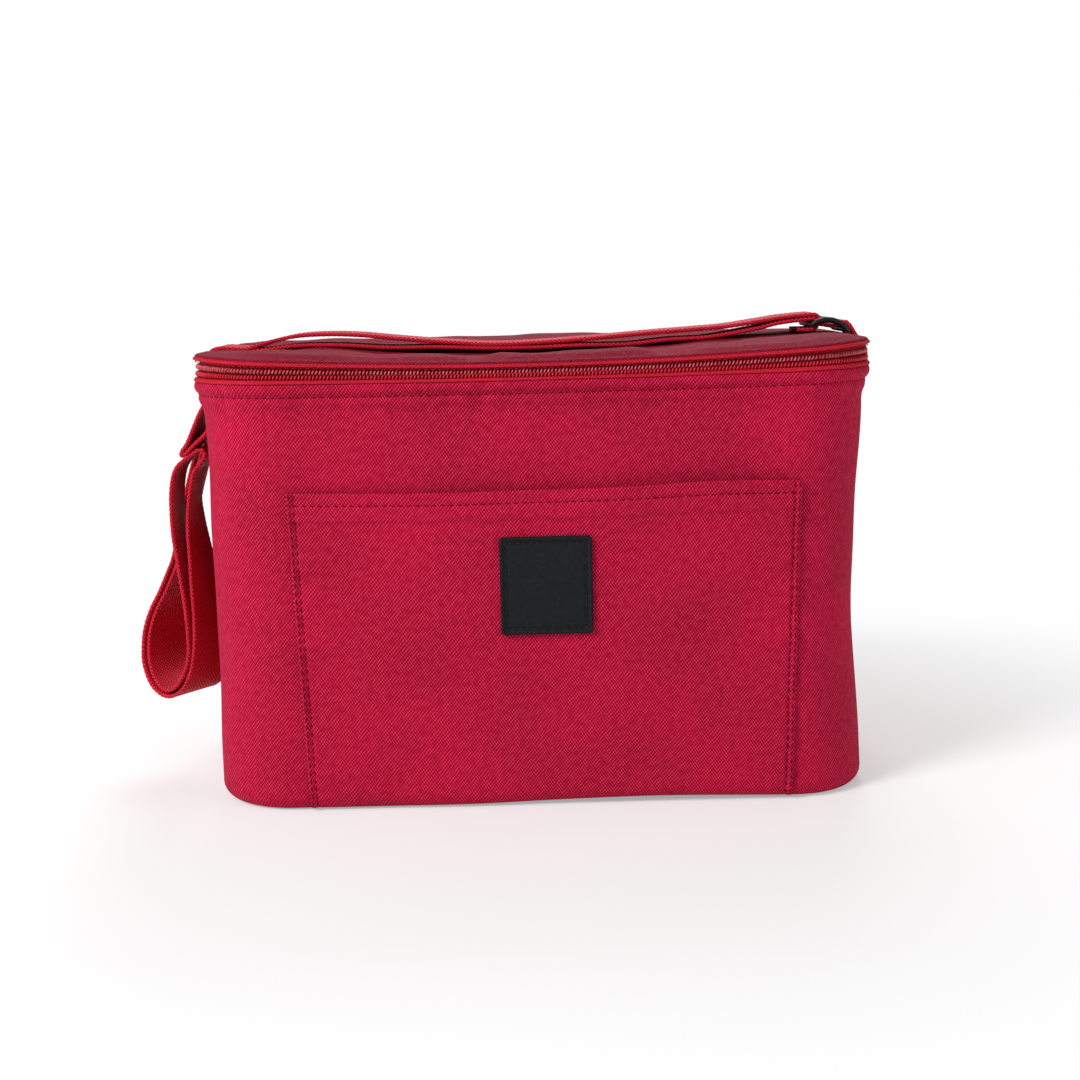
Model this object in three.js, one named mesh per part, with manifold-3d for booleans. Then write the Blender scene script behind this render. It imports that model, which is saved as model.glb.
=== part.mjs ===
// Soft insulated lunch box: a padded fabric bag with a zipped lid, a front pocket and a webbing strap.
// Millimetres, +Z up. The origin is the centre of the base's bottom face and the front faces -Y.

import * as THREE from 'three';
import { mergeVertices } from 'three/addons/utils/BufferGeometryUtils.js';
import Module from 'manifold-3d';

const wasm = await Module();
wasm.setup();

// Driving dimensions of the bag
const BAG_WIDTH = 260;
const BAG_DEPTH = 150;
const ZIP_HEIGHT = 172;
const FRONT_RADIUS = 32;
const REAR_RADIUS = 20;
const LID_RISE = 6.2;
const LID_DISH = 1.9;
const LID_HUMP = 1.3;
const LID_ROUND = 1.25;

// How the soft walls have settled
const ZIP_SAG = 4;
const WAIST = 2.5;
const ZIP_STANDOUT = 2.5;
const HEM_PINCH = 1.2;
const HEM_SPREAD = 6;
const STRAP_PULL = 4;
const PULL_SPREAD = 24;
const PULL_REACH = 30;

// Layers of the walls, from outside to inside
const FABRIC = 1.2;
const FOAM = 5;
const LINER = 0.8;
const BASE_FABRIC = 1.5;
const BASE_BOARD = 2;
const BASE_CHAMFER = 2;
const SEAT = 0.3;
const LID_LINING_LIFT = 1.4;
const LEAST_ROW = 1.2;

// Zip
const ZIP_BAND = 8.7;
const ZIP_COIL = 6;
const COIL_THICKNESS = 2.4;
const COIL_PARTING = 1.4;
const TAPE = 0.9;
const TAPE_TURN_IN = 7;
const HEM_DROP = 5.3;
const ZIP_END_GAP = 5;
const STOP_LENGTH = 2;
const SLIDER_LENGTH = 9;
const SLIDER_HEIGHT = 8;
const SLIDER_PLATE = 1.2;
const SLIDER_BLADE = 0.8;
const SLIDER_PLAY = 0.4;
const SLIDER_TO_END = 1.5;
const PIN_RADIUS = 0.6;
const EYE_WALL = 1;
const PULL_LENGTH = 18;
const PULL_WIDTH = 7;
const PULL_THICKNESS = 1.5;
const PULL_NECK = 3.2;
const LUG = 1;

// Front pocket and its label
const POCKET_TOP_WIDTH = 196;
const POCKET_BOTTOM_WIDTH = 188;
const POCKET_HEIGHT = 123;
const POCKET_FOOT = 3;
const POCKET_SHIFT = 3.5;
const POCKET_GAPE = 6.5;
const LABEL_WIDTH = 35;
const LABEL_HEIGHT = 38;
const LABEL_THICKNESS = 1.2;
const LABEL_RIM = 0.5;
const LABEL_DROP = 36.8;

// Strap
const WEBBING_WIDTH = 25;
const WEBBING = 1.5;
const STRAP_Y = 12;
const TAB_Y = -16;
const TAB_REACH = 13.6;
const TAB_DROP = 2;
const TAB_FALL = 23.6;
const LOOP_REACH = 34.6;
const LOOP_BOTTOM = 32.6;
const LOOP_DROP = 24;
const GLIDE_BAR = 2.4;
const GLIDE_PITCH = 7.8;
const GLIDE_WIDTH = 33;
const GLIDE_BOW = 10.5;
const GLIDE_TO_EDGE = 6.5;
const GLIDE_TAIL = 12;
const ARCH_RISE = 2;
const LID_LAYER_GAP = 0.6;
const BAND_END = 6.5;
const DROP_REACH = 10;
const ANCHOR_LENGTH = 18;
const ANCHOR_DROP = 14;

// Places worked out from the sizes above
const HALF_WIDTH = BAG_WIDTH / 2;
const HALF_DEPTH = BAG_DEPTH / 2;
const BAND_BOTTOM = ZIP_HEIGHT - ZIP_BAND / 2;
const BAND_TOP = ZIP_HEIGHT + ZIP_BAND / 2;
const HEM_HEIGHT = BAND_BOTTOM - HEM_DROP;
const WALL_FOOT = BASE_FABRIC + SEAT;
const WALL_TOP = BAND_BOTTOM - SEAT;
const ZIP_END_Y = HALF_DEPTH - REAR_RADIUS - ZIP_END_GAP;
const STRIP_END_Y = ZIP_END_Y + ZIP_END_GAP / 2;
const FOAM_FACE = FABRIC + SEAT;
const LINER_FACE = FOAM_FACE + FOAM + SEAT;
const TAPE_FACE = FABRIC + SEAT;
const TAPE_MIDDLE = TAPE_FACE + TAPE / 2;
const COIL_FACE = TAPE_MIDDLE - COIL_THICKNESS / 2;
const LID_TOP = ZIP_HEIGHT + LID_RISE;
const SLIDER_INNER = COIL_FACE + COIL_THICKNESS + SLIDER_PLAY + SLIDER_PLATE;
const LID_CORE_INSET = SLIDER_INNER + SEAT;

// Materials
const cloth = (color, roughness) => new THREE.MeshStandardMaterial({ color, roughness, metalness: 0 });
const crimson = cloth(0xb01a40, 0.85);
const crimsonLid = cloth(0x8f1832, 0.85);
const scarlet = cloth(0xcc1030, 0.7);
const liningWhite = cloth(0xdcdfe0, 0.45);
const foamGrey = cloth(0xe4e4e0, 0.9);
const boardWhite = cloth(0xd0d0cc, 0.6);
const rubberBlack = cloth(0x1c1f22, 0.6);
const plasticBlack = cloth(0x0d0d0e, 0.4);
const pullMetal = new THREE.MeshStandardMaterial({ color: 0x24262a, roughness: 0.35, metalness: 0.9 });

// Solids and meshes

function closed(geometry) {
  geometry.deleteAttribute('normal');
  geometry.deleteAttribute('uv');
  return mergeVertices(geometry);
}

function solidOf(geometry) {
  const merged = closed(geometry);
  return new wasm.Manifold(new wasm.Mesh({
    numProp: 3,
    vertProperties: new Float32Array(merged.attributes.position.array),
    triVerts: new Uint32Array(merged.index.array),
  }));
}

function join(geometries) {
  const joined = geometries.map(solidOf).reduce((whole, solid) => whole.add(solid)).getMesh();
  const geometry = new THREE.BufferGeometry();
  geometry.setAttribute('position', new THREE.BufferAttribute(joined.vertProperties, 3));
  geometry.setIndex(new THREE.BufferAttribute(joined.triVerts, 1));
  return geometry;
}

function piece(name, geometry, material) {
  geometry.computeVertexNormals();
  const mesh = new THREE.Mesh(geometry, material);
  mesh.name = name;
  return mesh;
}

function moveVertices(geometry, move) {
  const position = geometry.attributes.position;
  const vertex = new THREE.Vector3();
  for (let i = 0; i < position.count; i += 1) {
    vertex.fromBufferAttribute(position, i);
    move(vertex, i);
    position.setXYZ(i, vertex.x, vertex.y, vertex.z);
  }
  return geometry;
}

// Plan of the bag: stations run round it from the left back seam, by the front, to the right back seam
// and along the back. Each one holds its point on the outside and the direction that points inward.

const stations = [];

function addArc(x, y, radius, from, to, steps) {
  for (let i = 0; i < steps; i += 1) {
    const angle = from + (to - from) * i / steps;
    const outX = Math.cos(angle);
    const outY = Math.sin(angle);
    stations.push({ x: x + radius * outX, y: y + radius * outY, inX: -outX, inY: -outY });
  }
}

function addRun(x0, y0, x1, y1, inX, inY, steps) {
  for (let i = 0; i < steps; i += 1) {
    const share = i / steps;
    stations.push({ x: x0 + (x1 - x0) * share, y: y0 + (y1 - y0) * share, inX, inY });
  }
}

const frontX = HALF_WIDTH - FRONT_RADIUS;
const frontY = HALF_DEPTH - FRONT_RADIUS;
const rearX = HALF_WIDTH - REAR_RADIUS;
const rearY = HALF_DEPTH - REAR_RADIUS;
const QUARTER = Math.PI / 2;

const LEFT_SEAM = 0;
addArc(-rearX, rearY, REAR_RADIUS, QUARTER, 2 * QUARTER, 4);
addRun(-HALF_WIDTH, rearY, -HALF_WIDTH, STRIP_END_Y, 1, 0, 1);
const LEFT_STRIP_END = stations.length;
addRun(-HALF_WIDTH, STRIP_END_Y, -HALF_WIDTH, ZIP_END_Y, 1, 0, 1);
const LEFT_ZIP_END = stations.length;
addRun(-HALF_WIDTH, ZIP_END_Y, -HALF_WIDTH, -frontY, 1, 0, 6);
addArc(-frontX, -frontY, FRONT_RADIUS, 2 * QUARTER, 3 * QUARTER, 6);
addRun(-frontX, -HALF_DEPTH, frontX, -HALF_DEPTH, 0, 1, 8);
addArc(frontX, -frontY, FRONT_RADIUS, 3 * QUARTER, 4 * QUARTER, 6);
addRun(HALF_WIDTH, -frontY, HALF_WIDTH, ZIP_END_Y, -1, 0, 3);
const RIGHT_ZIP_END = stations.length;
addRun(HALF_WIDTH, ZIP_END_Y, HALF_WIDTH, STRIP_END_Y, -1, 0, 1);
const RIGHT_STRIP_END = stations.length;
addRun(HALF_WIDTH, STRIP_END_Y, HALF_WIDTH, rearY, -1, 0, 1);
addArc(rearX, rearY, REAR_RADIUS, 0, QUARTER, 4);
const RIGHT_SEAM = stations.length;
addRun(rearX, HALF_DEPTH, rearX - SEAT, HALF_DEPTH, 0, -1, 1);
const BACK_START = stations.length;
addRun(rearX - SEAT, HALF_DEPTH, SEAT - rearX, HALF_DEPTH, 0, -1, 3);
const BACK_END = stations.length;
addRun(SEAT - rearX, HALF_DEPTH, -rearX, HALF_DEPTH, 0, -1, 1);

// Settled shape: the zip line stands out and sags in front, its hem is pinched, the sides draw in, and
// the strap pulls the left rim down. The pull fades down the wall by this power of the height's share.
const PULL_FADE = 8;

function settle(vertex) {
  const across = Math.max(1 - (vertex.x / HALF_WIDTH) ** 2, 0);
  const forward = THREE.MathUtils.clamp((HALF_DEPTH - vertex.y) / BAG_DEPTH, 0, 1);
  const height = Math.min(vertex.z / ZIP_HEIGHT, 1);
  const alongRim = Math.exp(-(((vertex.y - STRAP_Y) / PULL_SPREAD) ** 4));
  const fromRim = Math.exp(-(((vertex.x + HALF_WIDTH) / PULL_REACH) ** 2));
  vertex.z -= ZIP_SAG * across * forward * height;
  vertex.z -= STRAP_PULL * alongRim * fromRim * height ** PULL_FADE;
  return vertex;
}

function standOff(station, z) {
  const zipShare = 1 - THREE.MathUtils.smoothstep(station.y, ZIP_END_Y, HALF_DEPTH);
  const waist = WAIST * Math.sin(Math.PI * Math.min(z / HEM_HEIGHT, 1)) * Math.abs(station.inX);
  const pinch = HEM_PINCH * Math.exp(-(((z - HEM_HEIGHT) / HEM_SPREAD) ** 2));
  const flare = THREE.MathUtils.smoothstep(z, HEM_HEIGHT, BAND_BOTTOM);
  return zipShare * (flare * ZIP_STANDOUT - (1 - flare) * pinch) - waist;
}

function wallPoint(index, inset, z) {
  const station = stations[index % stations.length];
  const inward = inset - standOff(station, z);
  return new THREE.Vector3(station.x + station.inX * inward, station.y + station.inY * inward, z);
}

// Heights at which a wall piece has a row of points
const WALL_ROW_SHARES = [0.2, 0.4, 0.6, 0.8, 0.89];
const wallRows = [
  ...WALL_ROW_SHARES.map((share) => share * ZIP_HEIGHT),
  HEM_HEIGHT - HEM_SPREAD / 2,
  HEM_HEIGHT,
  (HEM_HEIGHT + BAND_BOTTOM) / 2,
];

function rowsBetween(foot, top) {
  const inside = wallRows.filter((z) => z > foot + LEAST_ROW && z < top - LEAST_ROW);
  return [foot, ...inside, top];
}

// A layer that follows the wall from one station to another
function wallLayer(from, to, face, thickness, foot, top) {
  const steps = to - from;
  const rows = rowsBetween(foot, top);
  const rowSteps = rows.length - 1;
  const geometry = new THREE.BoxGeometry(steps, thickness, rowSteps, steps, 1, rowSteps);
  moveVertices(geometry, (vertex) => {
    const index = from + Math.round(vertex.x + steps / 2);
    const z = rows[Math.round(vertex.z + rowSteps / 2)];
    vertex.copy(settle(wallPoint(index, face + thickness / 2 + vertex.y, z)));
  });
  return closed(geometry);
}

// A plate over the whole plan, from a profile that starts and ends on the middle. Each profile point
// has its inset from the plan's outline, its share of the way out from the middle, and its height.
function plate(profile) {
  const count = stations.length;
  const points = profile.map((point) => new THREE.Vector2(point.share, point.z));
  const geometry = new THREE.LatheGeometry(points, count);
  moveVertices(geometry, (vertex, i) => {
    const station = Math.floor(i / points.length) % count;
    const { inset, share, z } = profile[i % points.length];
    const edge = wallPoint(station, inset, z);
    vertex.copy(settle(new THREE.Vector3(edge.x * share, edge.y * share, z)));
  });
  return closed(geometry);
}

// A flat plate with square edges
function flatPlate(inset, foot, top) {
  return plate([
    { inset, share: 0, z: foot },
    { inset, share: 1, z: foot },
    { inset, share: 1, z: top },
    { inset, share: 0, z: top },
  ]);
}

// A layer that goes all round the plan
function ringLayer(face, thickness, foot, top) {
  const rows = rowsBetween(foot, top);
  const outer = rows.map((z) => ({ inset: face, share: 1, z }));
  const inner = rows.map((z) => ({ inset: face + thickness, share: 1, z })).reverse();
  return plate([...outer, ...inner, outer[0]]);
}

// Webbing along a route of points, with a few steps between each two. Its width lies along Y, turned about
// Z by the angle at each point where angles are given.
function ribbon(points, stepsEach, turns) {
  const curve = new THREE.CatmullRomCurve3(points, false, 'centripetal');
  const last = points.length - 1;
  const steps = stepsEach * last;
  const geometry = new THREE.BoxGeometry(steps, WEBBING_WIDTH, WEBBING, steps, 1, 1);
  moveVertices(geometry, (vertex) => {
    const share = THREE.MathUtils.clamp(vertex.x / steps + 0.5, 0, 1);
    const before = Math.min(Math.floor(share * last), last - 1);
    const turn = turns ? THREE.MathUtils.lerp(turns[before], turns[before + 1], share * last - before) : 0;
    const across = new THREE.Vector3(Math.sin(turn), Math.cos(turn), 0);
    const up = curve.getTangent(share).cross(across).normalize();
    const { y, z } = vertex;
    vertex.copy(curve.getPoint(share)).addScaledVector(across, y).addScaledVector(up, z);
  });
  return closed(geometry);
}

// Bag body: fabric outside, foam in the walls, a wipe-clean lining inside

const boardTop = WALL_FOOT + BASE_BOARD;
const baseFoamTop = boardTop + SEAT + FOAM;
const baseLinerTop = baseFoamTop + SEAT + LINER;
const tapeFoot = BAND_BOTTOM - TAPE_TURN_IN;
const foamTop = tapeFoot - SEAT;

function bodyPieces() {
  const basePanel = plate([
    { inset: BASE_CHAMFER, share: 0, z: 0 },
    { inset: BASE_CHAMFER, share: 1, z: 0 },
    { inset: 0, share: 1, z: BASE_FABRIC },
    { inset: 0, share: 0, z: BASE_FABRIC },
  ]);
  return [
    piece('base_panel', basePanel, crimson),
    piece('base_board', flatPlate(LINER_FACE, WALL_FOOT, boardTop), boardWhite),
    piece('base_foam', flatPlate(LINER_FACE, boardTop + SEAT, baseFoamTop), foamGrey),
    piece('base_liner', flatPlate(LINER_FACE, baseFoamTop + SEAT, baseLinerTop), liningWhite),
    piece('wrap_panel', wallLayer(LEFT_SEAM, RIGHT_SEAM, 0, FABRIC, WALL_FOOT, WALL_TOP), crimson),
    piece('back_panel', wallLayer(BACK_START, BACK_END, 0, FABRIC, WALL_FOOT, WALL_TOP), crimson),
    piece('wall_foam', wallLayer(LEFT_SEAM, RIGHT_SEAM, FOAM_FACE, FOAM, WALL_FOOT, foamTop), foamGrey),
    piece('back_foam', wallLayer(BACK_START, BACK_END, FOAM_FACE, FOAM, WALL_FOOT, WALL_TOP), foamGrey),
    piece('wall_liner', ringLayer(LINER_FACE, LINER, baseLinerTop + SEAT, WALL_TOP), liningWhite),
  ];
}

// Front pocket, open at its top edge, and the rubber label sewn to it

function frontFace(x) {
  const past = Math.max(Math.abs(x) - frontX, 0);
  return -frontY - Math.sqrt(FRONT_RADIUS ** 2 - past ** 2);
}

// A point of the pocket: shares across and up, and a distance out from the pocket's inner face
function pocketPoint(across, up, out) {
  const halfWidth = THREE.MathUtils.lerp(POCKET_BOTTOM_WIDTH, POCKET_TOP_WIDTH, up) / 2;
  const x = POCKET_SHIFT + across * halfWidth;
  const gape = POCKET_GAPE * (1 - across ** 2) * up;
  return settle(new THREE.Vector3(x, frontFace(x) - SEAT - gape - out, POCKET_FOOT + up * POCKET_HEIGHT));
}

// The label's grid: close lines at the edge carry its raised rim
const LABEL_GRID_SHARES = [-1, -0.95, -0.91, -0.5, 0, 0.5, 0.91, 0.95, 1];
const LABEL_RIM_SHARE = 0.94;

function pocketPieces() {
  const pocket = new THREE.BoxGeometry(1, 1, 1, 16, 1, 8);
  moveVertices(pocket, (vertex) => {
    vertex.copy(pocketPoint(2 * vertex.x, vertex.z + 0.5, (0.5 - vertex.y) * FABRIC));
  });

  const steps = LABEL_GRID_SHARES.length - 1;
  const label = new THREE.BoxGeometry(steps, 1, steps, steps, 1, steps);
  const labelHeight = POCKET_HEIGHT - LABEL_DROP;
  moveVertices(label, (vertex) => {
    const across = LABEL_GRID_SHARES[Math.round(vertex.x + steps / 2)];
    const along = LABEL_GRID_SHARES[Math.round(vertex.z + steps / 2)];
    const atRim = Math.max(Math.abs(across), Math.abs(along)) > LABEL_RIM_SHARE;
    const up = (labelHeight + along * LABEL_HEIGHT / 2) / POCKET_HEIGHT;
    const halfWidth = THREE.MathUtils.lerp(POCKET_BOTTOM_WIDTH, POCKET_TOP_WIDTH, up) / 2;
    const front = vertex.y < 0 ? LABEL_THICKNESS + (atRim ? LABEL_RIM : 0) : 0;
    vertex.copy(pocketPoint(across * LABEL_WIDTH / 2 / halfWidth, up, FABRIC + SEAT + front));
  });

  return [
    piece('pocket_panel', closed(pocket), crimson),
    piece('label_patch', closed(label), rubberBlack),
  ];
}

// Zip round the front and both sides: tape and coil on the body, tape and coil on the lid

const coilFoot = ZIP_HEIGHT - ZIP_COIL / 2;
const coilTop = ZIP_HEIGHT + ZIP_COIL / 2;
const zipFaceX = HALF_WIDTH + ZIP_STANDOUT;
const lidTapeTop = LID_TOP - LID_ROUND - SEAT;

function zipBand(name, face, thickness, foot, top) {
  return piece(name, wallLayer(LEFT_ZIP_END, RIGHT_ZIP_END, face, thickness, foot, top), scarlet);
}

function zipStop(name, side) {
  const height = ZIP_COIL / 2 - COIL_PARTING / 2;
  const stop = piece(name, new THREE.BoxGeometry(COIL_THICKNESS, STOP_LENGTH, height), scarlet);
  stop.position.set(
    side * (zipFaceX - TAPE_MIDDLE),
    ZIP_END_Y + SEAT / 2 + STOP_LENGTH / 2,
    coilFoot + height / 2,
  );
  return stop;
}

function bodyZipPieces() {
  return [
    zipBand('zip_tape_lower', TAPE_FACE, TAPE, tapeFoot, coilFoot - SEAT),
    zipBand('zip_coil_lower', COIL_FACE, COIL_THICKNESS, coilFoot, ZIP_HEIGHT - COIL_PARTING / 2),
    zipStop('zip_stop_left', -1),
    zipStop('zip_stop_right', 1),
  ];
}

function lidZipPieces() {
  return [
    zipBand('zip_coil_upper', COIL_FACE, COIL_THICKNESS, ZIP_HEIGHT + COIL_PARTING / 2, coilTop),
    zipBand('zip_tape_upper', TAPE_FACE, TAPE, coilTop + SEAT, lidTapeTop),
  ];
}

// Zip slider, closed at the right rear: two plates joined by a blade that runs between the coils,
// with two lugs and a pin for the pull, which points to the rear

const sliderY = ZIP_END_Y - SLIDER_TO_END - SLIDER_LENGTH / 2;
const outerPlateX = zipFaceX - COIL_FACE + SLIDER_PLAY + SLIDER_PLATE / 2;
const innerPlateX = zipFaceX - SLIDER_INNER + SLIDER_PLATE / 2;
const eyeRadius = PIN_RADIUS + SEAT + EYE_WALL;
const pinX = outerPlateX + SLIDER_PLATE / 2 + SEAT + eyeRadius;

function zipSlider() {
  const plateBox = new THREE.BoxGeometry(SLIDER_PLATE, SLIDER_LENGTH, SLIDER_HEIGHT);
  const outer = plateBox.clone().translate(outerPlateX, 0, 0);
  const inner = plateBox.clone().translate(innerPlateX, 0, 0);
  const blade = new THREE.BoxGeometry(outerPlateX - innerPlateX, SLIDER_LENGTH, SLIDER_BLADE);
  blade.translate((outerPlateX + innerPlateX) / 2, 0, 0);
  const lugZ = PULL_NECK / 2 + SEAT + LUG / 2;
  const lugLength = pinX + eyeRadius / 2 - outerPlateX;
  const lugs = [-1, 1].map((side) => new THREE.BoxGeometry(lugLength, eyeRadius, LUG)
    .translate(outerPlateX + lugLength / 2, 0, side * lugZ));
  const pin = new THREE.CylinderGeometry(PIN_RADIUS, PIN_RADIUS, 2 * lugZ, 12);
  pin.rotateX(QUARTER).translate(pinX, 0, 0);
  const slider = piece('zip_slider', join([outer, inner, blade, ...lugs, pin]), pullMetal);
  slider.position.set(0, sliderY, ZIP_HEIGHT);
  return slider;
}

function zipPull() {
  const eye = new THREE.Shape();
  eye.absarc(0, 0, eyeRadius, 0, 4 * QUARTER, false);
  const bore = new THREE.Path();
  bore.absarc(0, 0, PIN_RADIUS + SEAT, 0, 4 * QUARTER, true);
  eye.holes.push(bore);
  const ring = new THREE.ExtrudeGeometry(eye, { depth: PULL_NECK, bevelEnabled: false, curveSegments: 16 });
  ring.translate(0, 0, -PULL_NECK / 2);
  const bladeStart = PIN_RADIUS + SEAT + EYE_WALL / 2;
  const neckEnd = eyeRadius + PULL_NECK;
  const neck = new THREE.BoxGeometry(PULL_THICKNESS, neckEnd - bladeStart, PULL_NECK);
  neck.translate(0, (neckEnd + bladeStart) / 2, 0);
  const handleStart = neckEnd - PULL_THICKNESS;
  const handle = new THREE.BoxGeometry(PULL_THICKNESS, PULL_LENGTH - handleStart, PULL_WIDTH);
  handle.translate(0, (PULL_LENGTH + handleStart) / 2, 0);
  const pull = piece('zip_pull', join([ring, neck, handle]), pullMetal);
  pull.position.set(pinX, sliderY, ZIP_HEIGHT);
  return pull;
}

// Lid: a fabric panel turned down at its edge, foam and lining, and the strip that hinges it

const LID_RING_SHARES = [0, 0.3, 0.5, 0.7, 0.84, 0.93, 1];
const LID_ARC_SHARES = [0, 0.4, 1];
const lidLinerFoot = WALL_TOP + LID_LINING_LIFT;
const lidLinerTop = lidLinerFoot + LINER;
const roundMiddle = LID_TOP - LID_ROUND;

function lidTop(share) {
  return LID_TOP - LID_DISH * (1 - share ** 2) ** 2 + LID_HUMP * Math.sin(Math.PI * share ** 2);
}

function lidPanel() {
  const under = LID_RING_SHARES.map((share) => ({ inset: LID_ROUND, share, z: lidTop(share) - FABRIC }));
  const outer = LID_ARC_SHARES.map((share) => ({
    inset: LID_ROUND * (1 - Math.cos(share * QUARTER)),
    share: 1,
    z: roundMiddle + LID_ROUND * Math.sin(share * QUARTER),
  }));
  const innerRadius = LID_ROUND - FABRIC;
  const inner = LID_ARC_SHARES.map((share) => ({
    inset: LID_ROUND - innerRadius * Math.cos(share * QUARTER),
    share: 1,
    z: roundMiddle + innerRadius * Math.sin(share * QUARTER),
  }));
  const top = LID_RING_SHARES.map((share) => ({ inset: LID_ROUND, share, z: lidTop(share) }));
  return plate([
    ...under.slice(0, -1),
    ...inner.reverse(),
    { inset: FABRIC, share: 1, z: BAND_TOP + SEAT },
    { inset: 0, share: 1, z: BAND_TOP + SEAT },
    ...outer,
    ...top.reverse().slice(1),
  ]);
}

function lidFoam() {
  const coreShare = (HALF_DEPTH - LID_CORE_INSET) / (HALF_DEPTH - LID_ROUND);
  const foot = lidLinerTop + SEAT;
  const top = LID_RING_SHARES.map((share) => ({
    inset: LID_CORE_INSET,
    share,
    z: lidTop(share * coreShare) - FABRIC - 2 * SEAT,
  }));
  return plate([
    { inset: LID_CORE_INSET, share: 0, z: foot },
    { inset: LID_CORE_INSET, share: 1, z: foot },
    ...top.reverse(),
  ]);
}

function lidPieces() {
  return [
    piece('lid_panel', lidPanel(), crimsonLid),
    piece('lid_foam', lidFoam(), foamGrey),
    piece('lid_liner', flatPlate(LID_CORE_INSET, lidLinerFoot, lidLinerTop), liningWhite),
  ];
}

function hingeStrip() {
  const leftEnd = stations.length + LEFT_STRIP_END;
  const strip = wallLayer(RIGHT_STRIP_END, leftEnd, 0, FABRIC, BAND_BOTTOM, BAND_TOP);
  return piece('hinge_strip', strip, crimson);
}

// Strap: one length of webbing. It is sewn to the strap glide, crosses the lid to the left and goes down the
// side. It hangs in a loop there and comes up in front, to the tab that holds its bight, then goes back the
// same way as a second layer, over the first one, through the glide and to its anchor on the right side.

// How far out the side wall's face lies at a height
function sideFace(z) {
  return HALF_WIDTH + standOff({ y: 0, inX: 1 }, z);
}

// A height on the bag under the webbing, at its highest across the webbing's width
function underStrap(x, heightAt) {
  const heights = [-1, 0, 1].map((side) => {
    const y = STRAP_Y + side * WEBBING_WIDTH / 2;
    return settle(new THREE.Vector3(x, y, heightAt(y))).z;
  });
  return Math.max(...heights);
}

function lidUnder(x) {
  return underStrap(x, (y) => {
    const share = Math.max(Math.abs(x) / HALF_WIDTH, Math.abs(y) / HALF_DEPTH);
    return lidTop(Math.min(share, 1));
  });
}

// Strap glide: three round bars between two rails, bowed over the lid's right edge. A place on it is given
// as a distance along the bow from its middle bar and a distance out from the bow.
const glideTilt = Math.PI / 18;
const glideWrap = GLIDE_BAR / 2 + SEAT + WEBBING / 2;
const glideOver = glideWrap + WEBBING + SEAT;
const glideX = HALF_WIDTH - GLIDE_TO_EDGE;
const barAngle = (bar) => glideTilt + bar * GLIDE_PITCH / GLIDE_BOW;
const leftBarX = glideX + GLIDE_BOW * Math.sin(barAngle(-1));
const glideZ = Math.max(
  lidUnder(leftBarX) + SEAT + WEBBING / 2 + glideWrap - GLIDE_BOW * Math.cos(barAngle(-1)),
  LID_TOP + SEAT + GLIDE_BAR / 2 - GLIDE_BOW * Math.cos(barAngle(1)),
);
const leftBarZ = glideZ + GLIDE_BOW * Math.cos(barAngle(-1));

function onBow(along, out) {
  const angle = glideTilt + along / GLIDE_BOW;
  const radius = GLIDE_BOW + out;
  return new THREE.Vector3(glideX + radius * Math.sin(angle), STRAP_Y, glideZ + radius * Math.cos(angle));
}

function strapGlide() {
  const rails = [-1, 1].map((side) => {
    const rail = new THREE.BoxGeometry(2 * GLIDE_PITCH + GLIDE_BAR, GLIDE_BAR, GLIDE_BAR, 10, 1, 1);
    return moveVertices(rail, (vertex) => {
      const { x, y, z } = vertex;
      vertex.copy(onBow(x, z));
      vertex.y = y + side * (GLIDE_WIDTH - GLIDE_BAR) / 2;
    });
  });
  const bars = [-1, 0, 1].map((bar) => {
    const middle = onBow(bar * GLIDE_PITCH, 0);
    const round = new THREE.CylinderGeometry(GLIDE_BAR / 2, GLIDE_BAR / 2, GLIDE_WIDTH - GLIDE_BAR, 12);
    return round.translate(middle.x, 0, middle.z);
  });
  const glide = piece('strap_glide', join([...rails, ...bars]), plasticBlack);
  glide.position.set(0, STRAP_Y, 0);
  return glide;
}

const onStrap = (x, z) => new THREE.Vector3(x, STRAP_Y, z);
const lowerLayer = 2 * SEAT + WEBBING / 2;
const upperLayer = lowerLayer + WEBBING + LID_LAYER_GAP;

// Turns of the webbing round a bar and over the lid's edge, as shares of a half turn and of a quarter turn
const GLIDE_TURN_SHARES = [-0.1, 0.15, 0.4, 0.7, 1];
const OVER_TURN_SHARES = [-0.12, 0.1, 0.3];
const EDGE_TURN_SHARES = [0, 0.5, 0.9];

// Webbing across the lid: shares of the half width, and for the upper layer shares of the arch
const LOWER_SHARES = [-0.87, -0.75, -0.6, -0.45, -0.3, -0.15, 0, 0.15, 0.3, 0.45, 0.58];
const UPPER_SHARES = [
  [-0.9, 0], [-0.82, 0.3], [-0.74, 0.75], [-0.6, 0.9], [-0.43, 0.95], [-0.27, 0.5], [-0.1, 0],
  [0.06, 0.35], [0.22, 0.6], [0.38, 0.75], [0.52, 0.65], [0.63, 0.8],
];

// Last places before the glide's left bar: shares of the way from the lid up to the bar
const APPROACH_SHARES = [[0.72, 0.3], [0.8, 0.75]];

// A height between the lid, at the webbing's own layer, and the top of its turn round the left bar
function approach([share, rise], layer, turnTop) {
  const x = share * HALF_WIDTH;
  return onStrap(x, THREE.MathUtils.lerp(lidUnder(x) + layer, turnTop, rise));
}

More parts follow.
